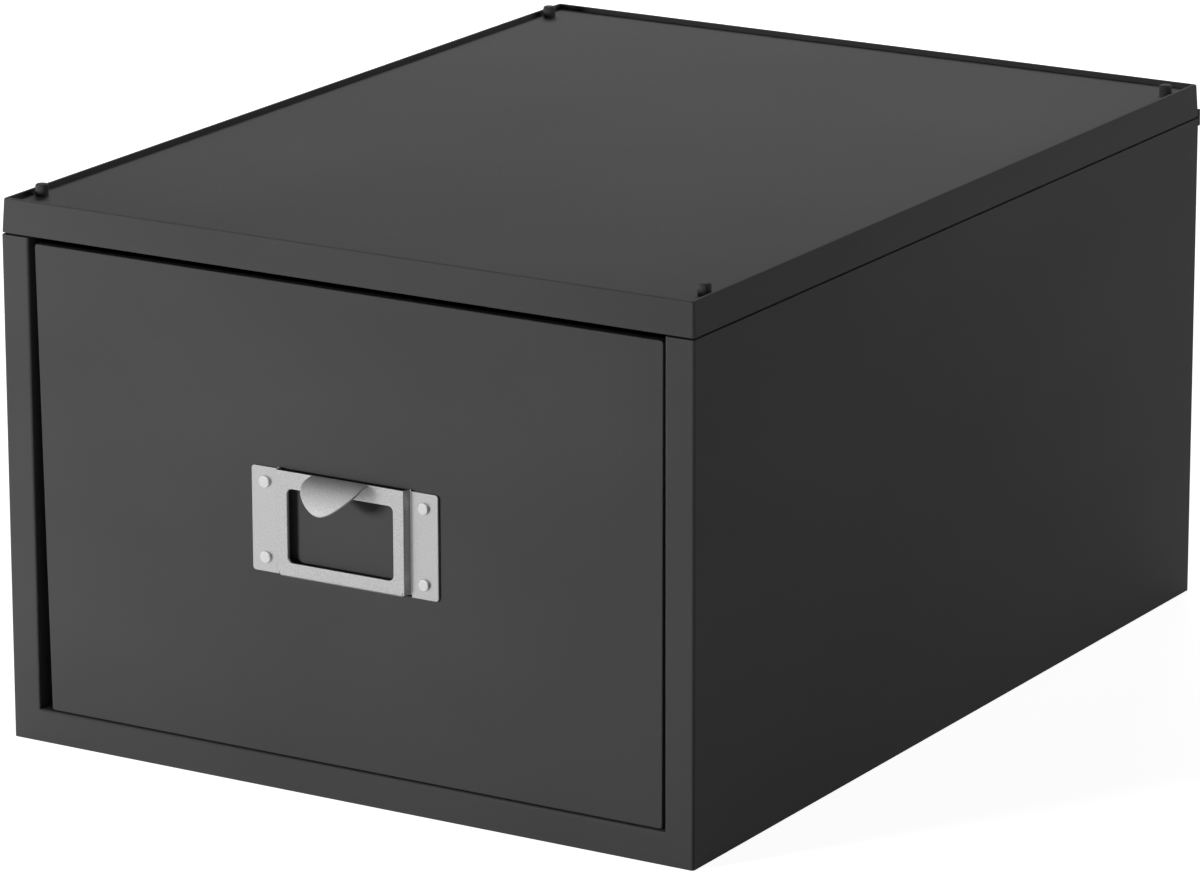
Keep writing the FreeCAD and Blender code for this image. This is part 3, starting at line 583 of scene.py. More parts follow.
def arc(centre: Point, radius: float, start: float, end: float, steps: int) -> list[Point]:
    """Gives points on an arc.

    Args:
        centre: The arc's centre.
        radius: The arc's radius.
        start: The first point's angle, in degrees.
        end: The last point's angle, in degrees.
        steps: How many parts the arc has.

    Returns:
        The points, both ends included.
    """
    turns = [math.radians(start + (end - start) * step / steps) for step in range(steps + 1)]
    return [(centre[0] + radius * math.cos(t), centre[1] + radius * math.sin(t)) for t in turns]


def rounded_path(corners: Sequence[tuple[float, float, float]], steps: int) -> list[Point]:
    """Rounds the inner corners of an open path.

    Args:
        corners: The path's corners as (x, y, radius).
        steps: How many parts each rounding has.

    Returns:
        The path's points: the ends, and steps + 1 points for each inner corner.
    """
    points = [corners[0][:2]]
    for before, corner, after in zip(corners, corners[1:], corners[2:]):
        here = Vector(corner[:2])
        back, on = (Vector(before[:2]) - here).normalized(), (Vector(after[:2]) - here).normalized()
        half = back.angle(on) / 2
        reach = corner[2] / math.tan(half)
        centre = here + (back + on).normalized() * corner[2] / math.sin(half)
        arm = here + back * reach - centre
        sweep = arm.angle_signed(here + on * reach - centre)
        for step in range(steps + 1):
            points.append(tuple(centre + Matrix.Rotation(-sweep * step / steps, 2) @ arm))
    points.append(corners[-1][:2])
    return points


def mirrored(right: Sequence[Point]) -> list[Point]:
    """Gives the points of a right half mirrored to the left, in the opposite order."""
    return [(-x, y) for x, y in reversed(right)]


def skin(shape: Shape, rows: Sequence[Sequence[bmesh.types.BMVert]]) -> None:
    """Skins a run of rows of vertices, each closed on itself.

    Args:
        shape: The mesh.
        rows: The rows, all with the same number of vertices.
    """
    for near, far in zip(rows, rows[1:]):
        for place in range(len(near)):
            on = (place + 1) % len(near)
            shape.faces.new((near[place], near[on], far[on], far[place]))


def loft(shape: Shape, rings: Sequence[Sequence[Vector]]) -> None:
    """Skins a run of rings of points and closes the first and the last one with a face.

    Args:
        shape: The mesh.
        rings: The rings, all with the same number of points.
    """
    rows = [[shape.verts.new(point) for point in ring] for ring in rings]
    skin(shape, rows)
    shape.faces.new(list(reversed(rows[0])))
    shape.faces.new(rows[-1])


def turned(profile: Sequence[Point], axis: Axis, steps: int) -> Shape:
    """Turns a profile about an axis through the origin.

    Args:
        profile: Points as (radius, place along the axis), with radius 0 at both ends.
        axis: The axis.
        steps: How many parts the full turn has.

    Returns:
        A closed mesh.
    """
    shape = bmesh.new()
    rows = []
    for radius, place in profile:
        row = []
        for step in range(1 if radius == 0 else steps):
            a, b = radius * math.cos(math.tau * step / steps), radius * math.sin(math.tau * step / steps)
            row.append(shape.verts.new((a, place, b) if axis is Axis.Y else (a, b, place)))
        rows.append(row)
    for low, high in zip(rows, rows[1:]):
        for step in range(steps):
            corners = [low[step % len(low)], low[(step + 1) % len(low)],
                       high[(step + 1) % len(high)], high[step % len(high)]]
            shape.faces.new(list(dict.fromkeys(corners)))
    bmesh.ops.recalc_face_normals(shape, faces=shape.faces)
    return shape


def prism(shape: Shape, outline: Sequence[Point], low: float, high: float) -> None:
    """Adds an upright closed prism to a mesh.

    Args:
        shape: The mesh.
        outline: The prism's plan, anticlockwise.
        low: The bottom's height.
        high: The top's height.
    """
    loft(shape, [[Vector((x, y, z)) for x, y in outline] for z in (low, high)])


def merged_copy(node: str, merge: float = 0.002 * MM, flat: float = 0.5) -> Shape:
    """Copies a CAD node's mesh, joins its loose triangles and clears the edges across flat faces.

    Args:
        node: The node's name.
        merge: How close two corners are that become one.
        flat: The turn in degrees below which an edge is cleared.

    Returns:
        The copy.
    """
    shape = bmesh.new()
    shape.from_mesh(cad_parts[node].data)
    bmesh.ops.remove_doubles(shape, verts=shape.verts, dist=merge)
    bmesh.ops.dissolve_limit(shape, angle_limit=math.radians(flat), verts=shape.verts, edges=shape.edges)
    return shape


def soften(shape: Shape, width: float, wanted: EdgeRule, least_turn: float = 40.0) -> None:
    """Rounds the sharp outer edges that a rule picks.

    Args:
        shape: The mesh.
        width: How far the rounding reaches from the edge.
        wanted: The rule, which says whether an edge is rounded.
        least_turn: The turn in degrees above which an edge is sharp.
    """
    least = math.radians(least_turn)
    sharp = [edge for edge in shape.edges
             if edge.is_manifold and edge.calc_face_angle_signed(0.0) > least and wanted(edge)]
    bmesh.ops.bevel(shape, geom=sharp, offset=width, offset_type="OFFSET", segments=2, profile=0.5,
                    affect="EDGES", clamp_overlap=True, loop_slide=True)


def below(height: float) -> EdgeRule:
    """Gives the rule that picks the edges below a height."""
    return lambda edge: all(vertex.co.z < height for vertex in edge.verts)


@dataclass
class Workshop:
    """Turns meshes into finished pieces of the model and reports each one."""

    paint: Paintbox
    smooth_angle: float = 32.0

    def piece(self, name: str, shape: Shape, finish: Finish) -> Piece:
        """Makes an object of a mesh, with smooth roundings and flat faces.

        Args:
            name: The object's name.
            shape: The mesh, which is freed.
            finish: The piece's finish.

        Returns:
            The object.
        """
        mesh = bpy.data.meshes.new(name)
        shape.to_mesh(mesh)
        shape.free()
        mesh.materials.append(self.paint.coat(finish))
        for face in mesh.polygons:
            face.use_smooth = True
        mesh.set_sharp_from_angle(angle=math.radians(self.smooth_angle))
        made = bpy.data.objects.new(name, mesh)
        bpy.context.scene.collection.objects.link(made)
        return made

    def set_fasteners(self, piece: Piece, name: str, size: Point, centre: Point, finish: Finish) -> None:
        """Sets a fastener of the drawer front at four corners, each turned by its own amount.

        Args:
            piece: The fastener, which lies along y.
            name: The name of the tree that sets it out.
            size: The distances between the four across and up.
            centre: The middle of the four, across and up.
            finish: The fastener's finish.
        """
        grow(piece, scatter_tree(name), {
            "Across": size[0], "Along": size[1], "Facing": (math.pi / 2, 0.0, 0.0),
            "Centre": (centre[0], 0.0, centre[1]), "Turn": (0.0, math.tau, 0.0),
            "Material": self.paint.coat(finish)})

    def hand_over(self, piece: Piece, body: Body, slot: Slot, *nodes: str) -> None:
        """Keeps a piece's large faces flat beside small roundings, sets it on its body and hides the CAD
        nodes that it stands for.

        Args:
            piece: The piece.
            body: The body that it rides on.
            slot: Not used.
            *nodes: The CAD nodes that it stands for.
        """
        modifier = piece.modifiers.new("flat faces", "WEIGHTED_NORMAL")
        modifier.keep_sharp = True
        modifier.weight = 100
        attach(piece, body.value)
        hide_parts(*nodes)
        LOG.info("made %s: %d faces", piece.name, len(piece.data.polygons))

    def dress_node(self, node: str, finish: Finish) -> None:
        """Gives a CAD node that keeps its own shape a better finish.

        Args:
            node: The node's name.
            finish: The finish.
        """
        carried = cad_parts[node]
        for place in carried.material_slots:
            place.material = self.paint.coat(finish)
        if not carried.material_slots:
            carried.data.materials.append(self.paint.coat(finish))
        LOG.info("dressed %s", node)


# ---------------------------------------------------------------- the case


@dataclass
class CaseShell:
    """The one-piece shell: floor, walls, front frame, and the ribs under the floor."""

    half_width: float = 130.0 * MM
    half_depth: float = 172.5 * MM
    seam_height: float = 171.0 * MM
    edge_round: float = 0.2 * MM
    rim_width: float = 1.05 * MM
    level_play: float = 0.01 * MM

    def on_outer_rim(self, edge: bmesh.types.BMEdge) -> bool:
        """Tells whether an edge runs round the outside at the seam or at the foot.

        Args:
            edge: The edge.

        Returns:
            Whether it does.
        """
        ends = [vertex.co for vertex in edge.verts]
        inner_x, inner_y = self.half_width - self.rim_width, self.half_depth - self.rim_width
        level = all(min(abs(p.z - self.seam_height), abs(p.z)) < self.level_play for p in ends)
        return level and all(abs(p.x) > inner_x or abs(p.y) > inner_y for p in ends)

    def build(self, shop: Workshop) -> None:
        """Makes the shell with softened outer rims.

        Args:
            shop: The workshop.
        """
        shape = merged_copy("case_shell")
        soften(shape, self.edge_round, self.on_outer_rim)
        shell = shop.piece("case_moulding", shape, CASE_FINISH)
        shop.hand_over(shell, Body.CASE, Slot.CASE_PLASTIC, "case_shell")


@dataclass
class TopPanel:
    """The lid: a skirt with a raised rim, a recessed plate, ribs below it and four stacking pegs."""

    half_width: float = 130.0 * MM
    half_depth: float = 172.5 * MM
    seam_height: float = 171.0 * MM
    top_height: float = 183.0 * MM
    taper: float = 0.7 * MM
    corner: float = 1.2 * MM
    corner_least: float = 0.55
    rim: float = 1.3 * MM
    rim_height: float = 1.8 * MM
    plate: float = 2.4 * MM
    seam_gap: float = 0.6 * MM
    seam_depth: float = 2.2 * MM
    outer_round: float = 0.55 * MM
    inner_round: float = 0.2 * MM
    lower_round: float = 0.3 * MM
    cavity_inset: float = 4.7 * MM
    lip_inset: float = 2.7 * MM
    lip: float = 2.0 * MM
    lip_depth: float = 4.0 * MM
    lip_root: float = 0.2 * MM
    lip_front: float = -160.3 * MM
    rib: float = 1.6 * MM
    rib_depth: float = 4.0 * MM
    rib_pitch: float = 80.0 * MM
    rib_count: int = 4
    peg_radius: float = 2.2 * MM
    peg_height: float = 4.0 * MM
    peg_round: float = 0.75 * MM
    peg_root: float = 0.3 * MM
    peg_steps: int = 28
    peg_across: float = 249.0 * MM
    peg_along: float = 314.0 * MM

    def ring(self, inset: float, height: float) -> list[Vector]:
        """Gives one level ring of the lid.

        Args:
            inset: How far the ring lies inside the widest outline.
            height: The ring's height.

        Returns:
            The ring's points.
        """
        radius = max(self.corner - inset, self.corner * self.corner_least)
        plan = RoundedRectangle(self.half_width - inset, self.half_depth - inset, radius)
        return [Vector((x, y, height)) for x, y in plan.outline()]

    def section(self) -> list[Point]:
        """Gives the lid's section as (inset, height), from the cavity round the rim to the plate.

        Returns:
            The section's points.
        """
        floor = self.top_height - self.rim_height
        gap_roof = self.seam_height + self.seam_gap
        inner = self.taper + self.rim
        small, large = self.inner_round, self.outer_round
        foot = [(self.cavity_inset, floor - self.plate), (self.cavity_inset, self.seam_height),
                (self.seam_depth, self.seam_height), (self.seam_depth, gap_roof)]
        low = arc((small, gap_roof + small), small, 270, 180, 3)
        high = arc((self.taper + large, self.top_height - large), large, 180, 90, 4)
        lip = arc((inner - small, self.top_height - small), small, 90, 0, 3)
        hollow = arc((inner + small, floor + small), small, 180, 270, 3)
        return foot + low + high + lip + hollow

    def lip_plan(self) -> list[Point]:
        """Gives the plan of the locating lip: three walls, open at the front.

        Returns:
            The plan's corners, anticlockwise.
        """
        out_x, out_y = self.half_width - self.lip_inset, self.half_depth - self.lip_inset
        in_x, in_y = out_x - self.lip, out_y - self.lip
        return [(-out_x, self.lip_front), (-in_x, self.lip_front), (-in_x, in_y), (in_x, in_y),
                (in_x, self.lip_front), (out_x, self.lip_front), (out_x, out_y), (-out_x, out_y)]

    def lid_shape(self) -> Shape:
        """Builds the lid with its locating lip.

        Returns:
            The mesh.
        """
        shape = bmesh.new()
        loft(shape, [self.ring(inset, height) for inset, height in self.section()])
        prism(shape, self.lip_plan(), self.seam_height - self.lip_depth, self.seam_height + self.lip_root)
        soften(shape, self.lower_round, below(self.seam_height - self.lip_depth / 2))
        return shape

    def build_ribs(self, shop: Workshop) -> Piece:
        """Makes the ribs under the plate.

        Args:
            shop: The workshop.

        Returns:
            The ribs, as one piece.
        """
        ceiling = self.top_height - self.rim_height - self.plate
        half = self.half_width - self.cavity_inset
        shape = bmesh.new()
        plan = [(-half, -self.rib / 2), (half, -self.rib / 2), (half, self.rib / 2), (-half, self.rib / 2)]
        prism(shape, plan, ceiling - self.rib_depth, ceiling)
        soften(shape, self.lower_round, below(ceiling - self.rib_depth / 2))
        first = -self.rib_pitch * (self.rib_count - 1) / 2
        return grow(shop.piece("lid_ribs", shape, CASE_FINISH), row_tree("lid rib row"), {
            "Count": self.rib_count, "Start": (0.0, first, 0.0), "Pitch": (0.0, self.rib_pitch, 0.0),
            "Material": shop.paint.coat(CASE_FINISH)})

    def build_pegs(self, shop: Workshop) -> Piece:
        """Makes the four stacking pegs, each with a rounded top.

        Args:
            shop: The workshop.

        Returns:
            The pegs, as one piece.
        """
        centre = (self.peg_radius - self.peg_round, self.peg_height - self.peg_round)
        profile = [(0.0, -self.peg_root), (self.peg_radius, -self.peg_root)]
        profile += arc(centre, self.peg_round, 0, 90, 5) + [(0.0, self.peg_height)]
        pegs = shop.piece("stacking_pegs", turned(profile, Axis.Z, self.peg_steps), CASE_FINISH)
        return grow(pegs, scatter_tree("peg places"), {
            "Across": self.peg_across, "Along": self.peg_along,
            "Centre": (0.0, 0.0, self.top_height - self.rim_height),
            "Material": shop.paint.coat(CASE_FINISH)})

    def build(self, shop: Workshop) -> None:
        """Makes the lid, its ribs and its pegs.

        Args:
            shop: The workshop.
        """
        shop.hand_over(shop.piece("lid_moulding", self.lid_shape(), CASE_FINISH),
                       Body.CASE, Slot.CASE_PLASTIC, "top_panel")
        for build in (self.build_ribs, self.build_pegs):
            shop.hand_over(build(shop), Body.CASE, Slot.CASE_PLASTIC, "top_panel")


# ---------------------------------------------------------------- the label holder


@dataclass(frozen=True)
class BentSheet:
    """A sheet that is bent about upright lines, given by its front and back lines in plan."""

    front: tuple[Point, ...]
    back: tuple[Point, ...]

    def lengths(self) -> list[float]:
        """Gives each point's place along the unrolled front, from the middle.

        Returns:
            The places.
        """
        runs = [0.0]
        for one, two in zip(self.front, self.front[1:]):
            runs.append(runs[-1] + math.dist(one, two))
        return [run - runs[-1] / 2 for run in runs]

    def place(self, along: float, up: float, part: float) -> Vector:
        """Gives the point of the bent sheet for a point of the unrolled one.

        Args:
            along: The place along the unrolled front.
            up: The height.
            part: The depth, 0 at the front and 1 at the back.

        Returns:
            The point.
        """
        marks = self.lengths()
        span = max(0, min(len(marks) - 2, sum(1 for mark in marks if mark <= along) - 1))
        share = (along - marks[span]) / (marks[span + 1] - marks[span])
        ends = [Vector(side[span]).lerp(Vector(side[span + 1]), share) for side in (self.front, self.back)]
        flat = ends[0].lerp(ends[1], part)
        return Vector((flat.x, flat.y, up))


@dataclass
class LabelHolder:
    """A stamped steel frame with two riveted flanges, a bent-back lower lip and a curled finger tongue."""

    centre_x: float = 1.5 * MM
    centre_z: float = 90.25 * MM
    width: float = 70.5 * MM
    height: float = 35.0 * MM
    sheet: float = 0.9 * MM
    corner: float = 1.2 * MM
    flange: float = 10.4 * MM
    riser_run: float = 0.7 * MM
    face_y: float = -175.1 * MM
    flange_y: float = -172.4 * MM
    face_round: float = 0.45 * MM
    foot_round: float = 0.25 * MM
    face_back_round: float = 0.1 * MM
    foot_back_spare: float = 0.3 * MM
    bend_steps: int = 4
    edge_round: float = 0.26 * MM
    edge_middle: float = 0.3
    window_width: float = 40.1 * MM
    window_height: float = 24.6 * MM
    window_corner: float = 1.8 * MM
    lip_round: float = 1.8 * MM
    lip_play: float = 0.3 * MM
    lip_relief: float = 0.95 * MM
    lip_slit: float = 0.15 * MM
    lip_rows: int = 7
    frame_rise: float = 0.5 * MM
    rise_step: float = 0.3 * MM
    tongue_width: float = 21.2 * MM
    tongue_radius: float = 14.2 * MM
    tongue_sweep: float = 68.0
    tongue_straight: float = 5.0 * MM
    tongue_rows: tuple[int, int] = (10, 16)
    just_under: float = 1e-7
    same_place: float = 1e-8
    nearest: float = 1e-9

    def face_half_width(self) -> float:
        """Gives half the width of the raised face."""
        return self.width / 2 - self.flange - self.riser_run

    def lip_half_width(self) -> float:
        """Gives half the width of the bent-back lower lip, which ends where the upright bends start."""
        return self.face_half_width() - self.face_round - self.lip_slit - self.edge_round

    def edge_profile(self) -> list[Point]:
        """Gives the rounded edge of the sheet as (inset, depth), from its front to its back.

        Returns:
            The edge's points.
        """
        edge, far = self.edge_round, self.sheet
        middle = edge * self.edge_middle
        return [(edge, 0.0), (middle, middle), (0.0, edge),
                (0.0, far - edge), (middle, far - middle), (edge, far)]

    def sheet_path(self) -> BentSheet:
        """Gives the bent sheet's front and back lines, from the left flange to the right one.

        Returns:
            The bent sheet.
        """
        face, end = self.face_half_width(), self.width / 2
        slope = math.atan2(self.face_y - self.flange_y, -self.riser_run)
        lean = self.sheet * math.tan((math.pi / 2 - abs(math.pi / 2 + slope)) / 2)
        front = [(0.0, self.face_y, 0.0), (face, self.face_y, self.face_round),
                 (face + self.riser_run, self.flange_y, self.foot_round), (end, self.flange_y, 0.0)]
        under_face, under_flange = self.face_y + self.sheet, self.flange_y + self.sheet
        back = [(0.0, under_face, 0.0), (face - lean, under_face, self.face_back_round),
                (face + self.riser_run - lean, under_flange, self.foot_round + self.foot_back_spare),
                (end, under_flange, 0.0)]
        lines = []
        for corners in (front, back):
            right = rounded_path(corners, self.bend_steps)[1:]
            lines.append(tuple((x + self.centre_x, y) for x, y in mirrored(right) + right))
        return BentSheet(*lines)

    def lip_marks(self) -> list[float]:
        """Gives the heights on the unrolled sheet where the lip's bend has its rows, downwards.

        Returns:
            The heights.
        """
        start = self.lip_round - self.height / 2
        around = math.pi / 2 * self.lip_round
        shelf = self.flange_y + self.sheet - self.lip_play - self.face_y - self.lip_round
        bend = [start - around * row / self.lip_rows for row in range(self.lip_rows + 1)]
        return bend + [start - around - shelf]

    def sheet_outline(self, bends: Sequence[float]) -> FlatOutline:
        """Gives the outline of the unrolled sheet: a raised crown above, and the lower lip between two slits.

        Args:
            bends: The places across the sheet where its upright bends have their rows.

        Returns:
            The outline, anticlockwise from the lower right corner.
        """
        low, half = -self.height / 2, self.lip_half_width()
        corners = RoundedRectangle(bends[-1], self.height / 2, self.corner).outline(bends[1:-1])
        inner = len(bends) - 2
        upper, left = corners[:-inner], corners[-inner:-inner // 2]
        step, level, crest = bends[-2] + self.rise_step, self.height / 2, self.height / 2 + self.frame_rise
        raised = [place for place, (x, y) in enumerate(upper) if abs(x) < step and y > 0]
        crown = [(step, level), (step, crest)] + [(upper[place][0], crest) for place in raised]
        upper = upper[:raised[0]] + crown + [(-step, crest), (-step, level)] + upper[raised[-1] + 1:]
        rows = self.lip_marks()
        foot, cut = bends[-2] + self.lip_slit, low + self.lip_relief
        slit = -half - self.lip_slit
        tab = [(-foot, low), (-foot, cut)] + [(x, cut) for x, _ in left]
        tab += [(slit, cut), (slit, rows[0])] + [(-half, row) for row in rows]
        return FlatOutline(tuple(upper + tab + mirrored(tab)))

    def on_sheet(self, path: BentSheet, spot: Point, depth: float) -> Vector:
        """Gives the point of the finished frame for a point of the unrolled sheet.

        Args:
            path: The sheet's front and back lines in plan.
            spot: The place across and up on the unrolled sheet.
            depth: The depth under the front face.

        Returns:
            The point.
        """
        across, up = spot
        past = self.lip_round - self.height / 2 - up
        if past <= 0 or abs(across) > self.lip_half_width() + self.lip_slit / 2:
            return path.place(across, up + self.centre_z, depth / self.sheet)
        around = math.pi / 2 * self.lip_round
        turn = min(past, around) / self.lip_round
        arm = self.lip_round - depth
        y = self.face_y + self.lip_round - arm * math.cos(turn) + max(0.0, past - around)
        z = self.centre_z - self.height / 2 + self.lip_round - arm * math.sin(turn)
        return Vector((self.centre_x + across, y, z))

    def plate_shape(self) -> Shape:
        """Builds the stamped frame: faces front and back, and rounded edges round it and its window.

        Returns:
            The mesh.
        """
        path = self.sheet_path()
        outer = self.sheet_outline(path.lengths())
        window = FlatOutline(tuple(RoundedRectangle(
            self.window_width / 2, self.window_height / 2, self.window_corner).outline()))
        steps = self.edge_profile()
        shape = bmesh.new()
        sides = []
        for line, sign in ((outer, 1), (window, -1)):
            rings = [line.inset(sign * inset) for inset, _ in steps]
            rows = [[shape.verts.new(self.on_sheet(path, spot, depth)) for spot in ring.points]
                    for ring, (_, depth) in zip(rings, steps)]
            skin(shape, rows)
            sides.append((rings, rows))
        for end in (0, -1):
            self.fill(shape, [rings[end] for rings, _ in sides], [v for _, rows in sides for v in rows[end]])
        bmesh.ops.recalc_face_normals(shape, faces=shape.faces)
        return shape

    def fill(self, shape: Shape, lines: Sequence[FlatOutline],
             vertices: Sequence[bmesh.types.BMVert]) -> None:
        """Fills one side of the stamped frame between its outline and its window.

        Args:
            shape: The mesh.
            lines: The outline and the window's outline on that side.
            vertices: The vertices of both, in the same order.
        """
        outer, window = lines
        points = list(outer.points + window.points)
        size = len(outer.points)
        edges = [(i, (i + 1) % size) for i in range(size)]
        edges += [(i, i + 1 if i + 1 < len(points) else size) for i in range(size, len(points))]
        edges += self.bend_lines(outer.points)
        corners = [Vector(point) for point in points]
        spots, _, faces, origin, _, _ = delaunay_2d_cdt(corners, edges, [], 0, self.nearest)
        for face in faces:
            middle = sum((spots[i] for i in face), Vector((0.0, 0.0))) / len(face)
            if outer.holds(*middle) and not window.holds(*middle):
                shape.faces.new([vertices[origin[i][0]] for i in face])

    def bend_lines(self, points: Sequence[Point]) -> list[tuple[int, int]]:
        """Joins the outline's points that face each other across the sheet's bends.

        Args:
            points: The outline's points.

        Returns:
            The pairs of points, by number.
        """
        top, tab = self.height / 2 - self.corner, self.lip_marks()[0] - self.just_under
        foot = self.lip_relief + 2 * self.edge_round - self.height / 2
        beside_lip = self.lip_half_width() + self.lip_slit / 2
        low = [i for i, (x, y) in enumerate(points) if y < foot and abs(x) > beside_lip]
        lines = [(i, j) for j in low for i, (x, y) in enumerate(points)
                 if y > top and abs(x - points[j][0]) < self.same_place]
        side = [i for i, (x, y) in enumerate(points) if y < tab and abs(x) < self.lip_half_width()]
        half = len(side) // 2
        return lines + [(side[place], side[-1 - place]) for place in range(half - 1)]

    def tongue_reach(self) -> float:
        """Gives how far the tongue stands out in plan."""
        return self.tongue_radius * math.sin(math.radians(self.tongue_sweep))

    def tab_half_width(self, reach: float) -> float:
        """Gives the tongue's half width at a reach in plan: straight, then half an ellipse."""
        past = max(0.0, reach - self.tongue_straight) / (self.tongue_reach() - self.tongue_straight)
        return self.tongue_width / 2 * math.sqrt(max(0.0, 1.0 - past * past))

    def tab_shape(self) -> Shape:
        """Builds the tongue as a flat tab with rounded edges: x across, y its reach, z the depth.

        Returns:
            The mesh.
        """
        full, straight = self.tongue_reach(), self.tongue_straight
        even, curved = self.tongue_rows
        reaches = [straight * i / even for i in range(even + 1)]
        reaches += [straight + (full - straight) * math.sin(math.pi / 2 * i / curved)
                    for i in range(1, curved)]
        shape = bmesh.new()
        rows = []
        for inset, depth in self.edge_profile():
            right = [(self.tab_half_width(r) - inset, r * (full - inset) / full) for r in reaches]
            ring = right + [(0.0, full - inset)] + mirrored(right)
            rows.append([shape.verts.new((self.centre_x + x, y, -depth)) for x, y in ring])
        skin(shape, rows)
        for row in (rows[0], rows[-1]):
            size = len(row)
            for place in range(size // 2):
                corners = [row[place], row[place + 1], row[size - 2 - place], row[size - 1 - place]]
                shape.faces.new(list(dict.fromkeys(corners)))
        bmesh.ops.recalc_face_normals(shape, faces=shape.faces)
        return shape

    def build(self, shop: Workshop) -> None:
        """Makes the stamped frame and the curled tongue.

        Args:
            shop: The workshop.
        """
        stamped = shop.piece("label_frame", self.plate_shape(), HOLDER_FINISH)
        shop.hand_over(stamped, Body.DRAWER, Slot.SATIN_STEEL, "label_holder")
        # The tongue gets the frame's steel in a lighter colour: painted light.
        tongue = shop.piece("finger_tongue", self.tab_shape(), TONGUE_PAINTED_LIGHT_FINISH)
        grow(tongue, curl_tree("tongue curl"), {
            "Radius": self.tongue_radius, "Axis Y": self.face_y + self.sheet / 2,
            "Axis Z": self.centre_z + self.height / 2 + self.frame_rise - self.tongue_radius,
            "Material": shop.paint.coat(TONGUE_PAINTED_LIGHT_FINISH)})
        shop.hand_over(tongue, Body.DRAWER, Slot.SATIN_STEEL, "label_holder")


# ---------------------------------------------------------------- fasteners


@dataclass
class HolderRivets:
    """Four rivets that hold the label holder: a flat turned head in front and a set tail behind."""

    centre: Point = (1.5 * MM, 90.25 * MM)
    spacing: Point = (60.0 * MM, 25.1 * MM)
    flange_y: float = -172.4 * MM
    head_radius: float = 2.0 * MM
    head_height: float = 1.0 * MM
    head_bevel: float = 0.3 * MM
    head_ring: float = 0.4
    shank_radius: float = 1.5 * MM
    tail_radius: float = 2.3 * MM
    tail_height: float = 1.0 * MM
    tail_round: float = 0.4 * MM
    washer_y: float = -167.7 * MM
    washer_radius: float = 4.0 * MM
    washer_thickness: float = 0.8 * MM
    washer_bevel: float = 0.15 * MM
    steps: int = 36

    def rivet_profile(self) -> list[Point]:
        """Gives the rivet's profile as (radius, y), from the head to the tail.

        Returns:
            The profile's points.
        """
        face, end = self.flange_y - self.head_height, self.washer_y + self.tail_height
        edge, tail = self.head_bevel, self.tail_round
        bevel = arc((self.head_radius - edge, face + edge), edge, 270, 360, 4)
        dome = arc((self.tail_radius - tail, end - tail), tail, 0, 90, 4)
        return [(0.0, face), (self.head_radius * self.head_ring, face)] + bevel + [
            (self.head_radius, self.flange_y), (self.shank_radius, self.flange_y),
            (self.shank_radius, self.washer_y), (self.tail_radius, self.washer_y)] + dome + [(0.0, end)]

    def washer_profile(self) -> list[Point]:
        """Gives the washer's section as (radius, y), closed on itself.

        Returns:
            The section's points.
        """
        back, front, edge = self.washer_y, self.washer_y - self.washer_thickness, self.washer_bevel
        return [(self.shank_radius, front + edge), (self.shank_radius + edge, front),
                (self.washer_radius - edge, front), (self.washer_radius, front + edge),
                (self.washer_radius, back - edge), (self.washer_radius - edge, back),
                (self.shank_radius + edge, back), (self.shank_radius, back - edge)]

    def washer_shape(self) -> Shape:
        """Builds one washer about the y axis.

        Returns:
            The mesh.
        """
        shape = bmesh.new()
        turns = [math.tau * step / self.steps for step in range(self.steps)]
        rows = [[shape.verts.new((r * math.cos(t), y, r * math.sin(t))) for t in turns]
                for r, y in self.washer_profile()]
        skin(shape, rows + rows[:1])
        bmesh.ops.recalc_face_normals(shape, faces=shape.faces)
        return shape

    def build(self, shop: Workshop) -> None:
        """Makes the rivets and their washers.

        Args:
            shop: The workshop.
        """
        rivets = shop.piece("rivets", turned(self.rivet_profile(), Axis.Y, self.steps), RIVET_FINISH)
        shop.set_fasteners(rivets, "rivet places", self.spacing, self.centre, RIVET_FINISH)
        shop.hand_over(rivets, Body.DRAWER, Slot.RIVET_STEEL, "holder_rivets")
        washers = shop.piece("washers", self.washer_shape(), SCREW_FINISH)
        shop.set_fasteners(washers, "washer places", self.spacing, self.centre, SCREW_FINISH)
        shop.hand_over(washers, Body.DRAWER, Slot.ZINC_SCREW, "rivet_washers")


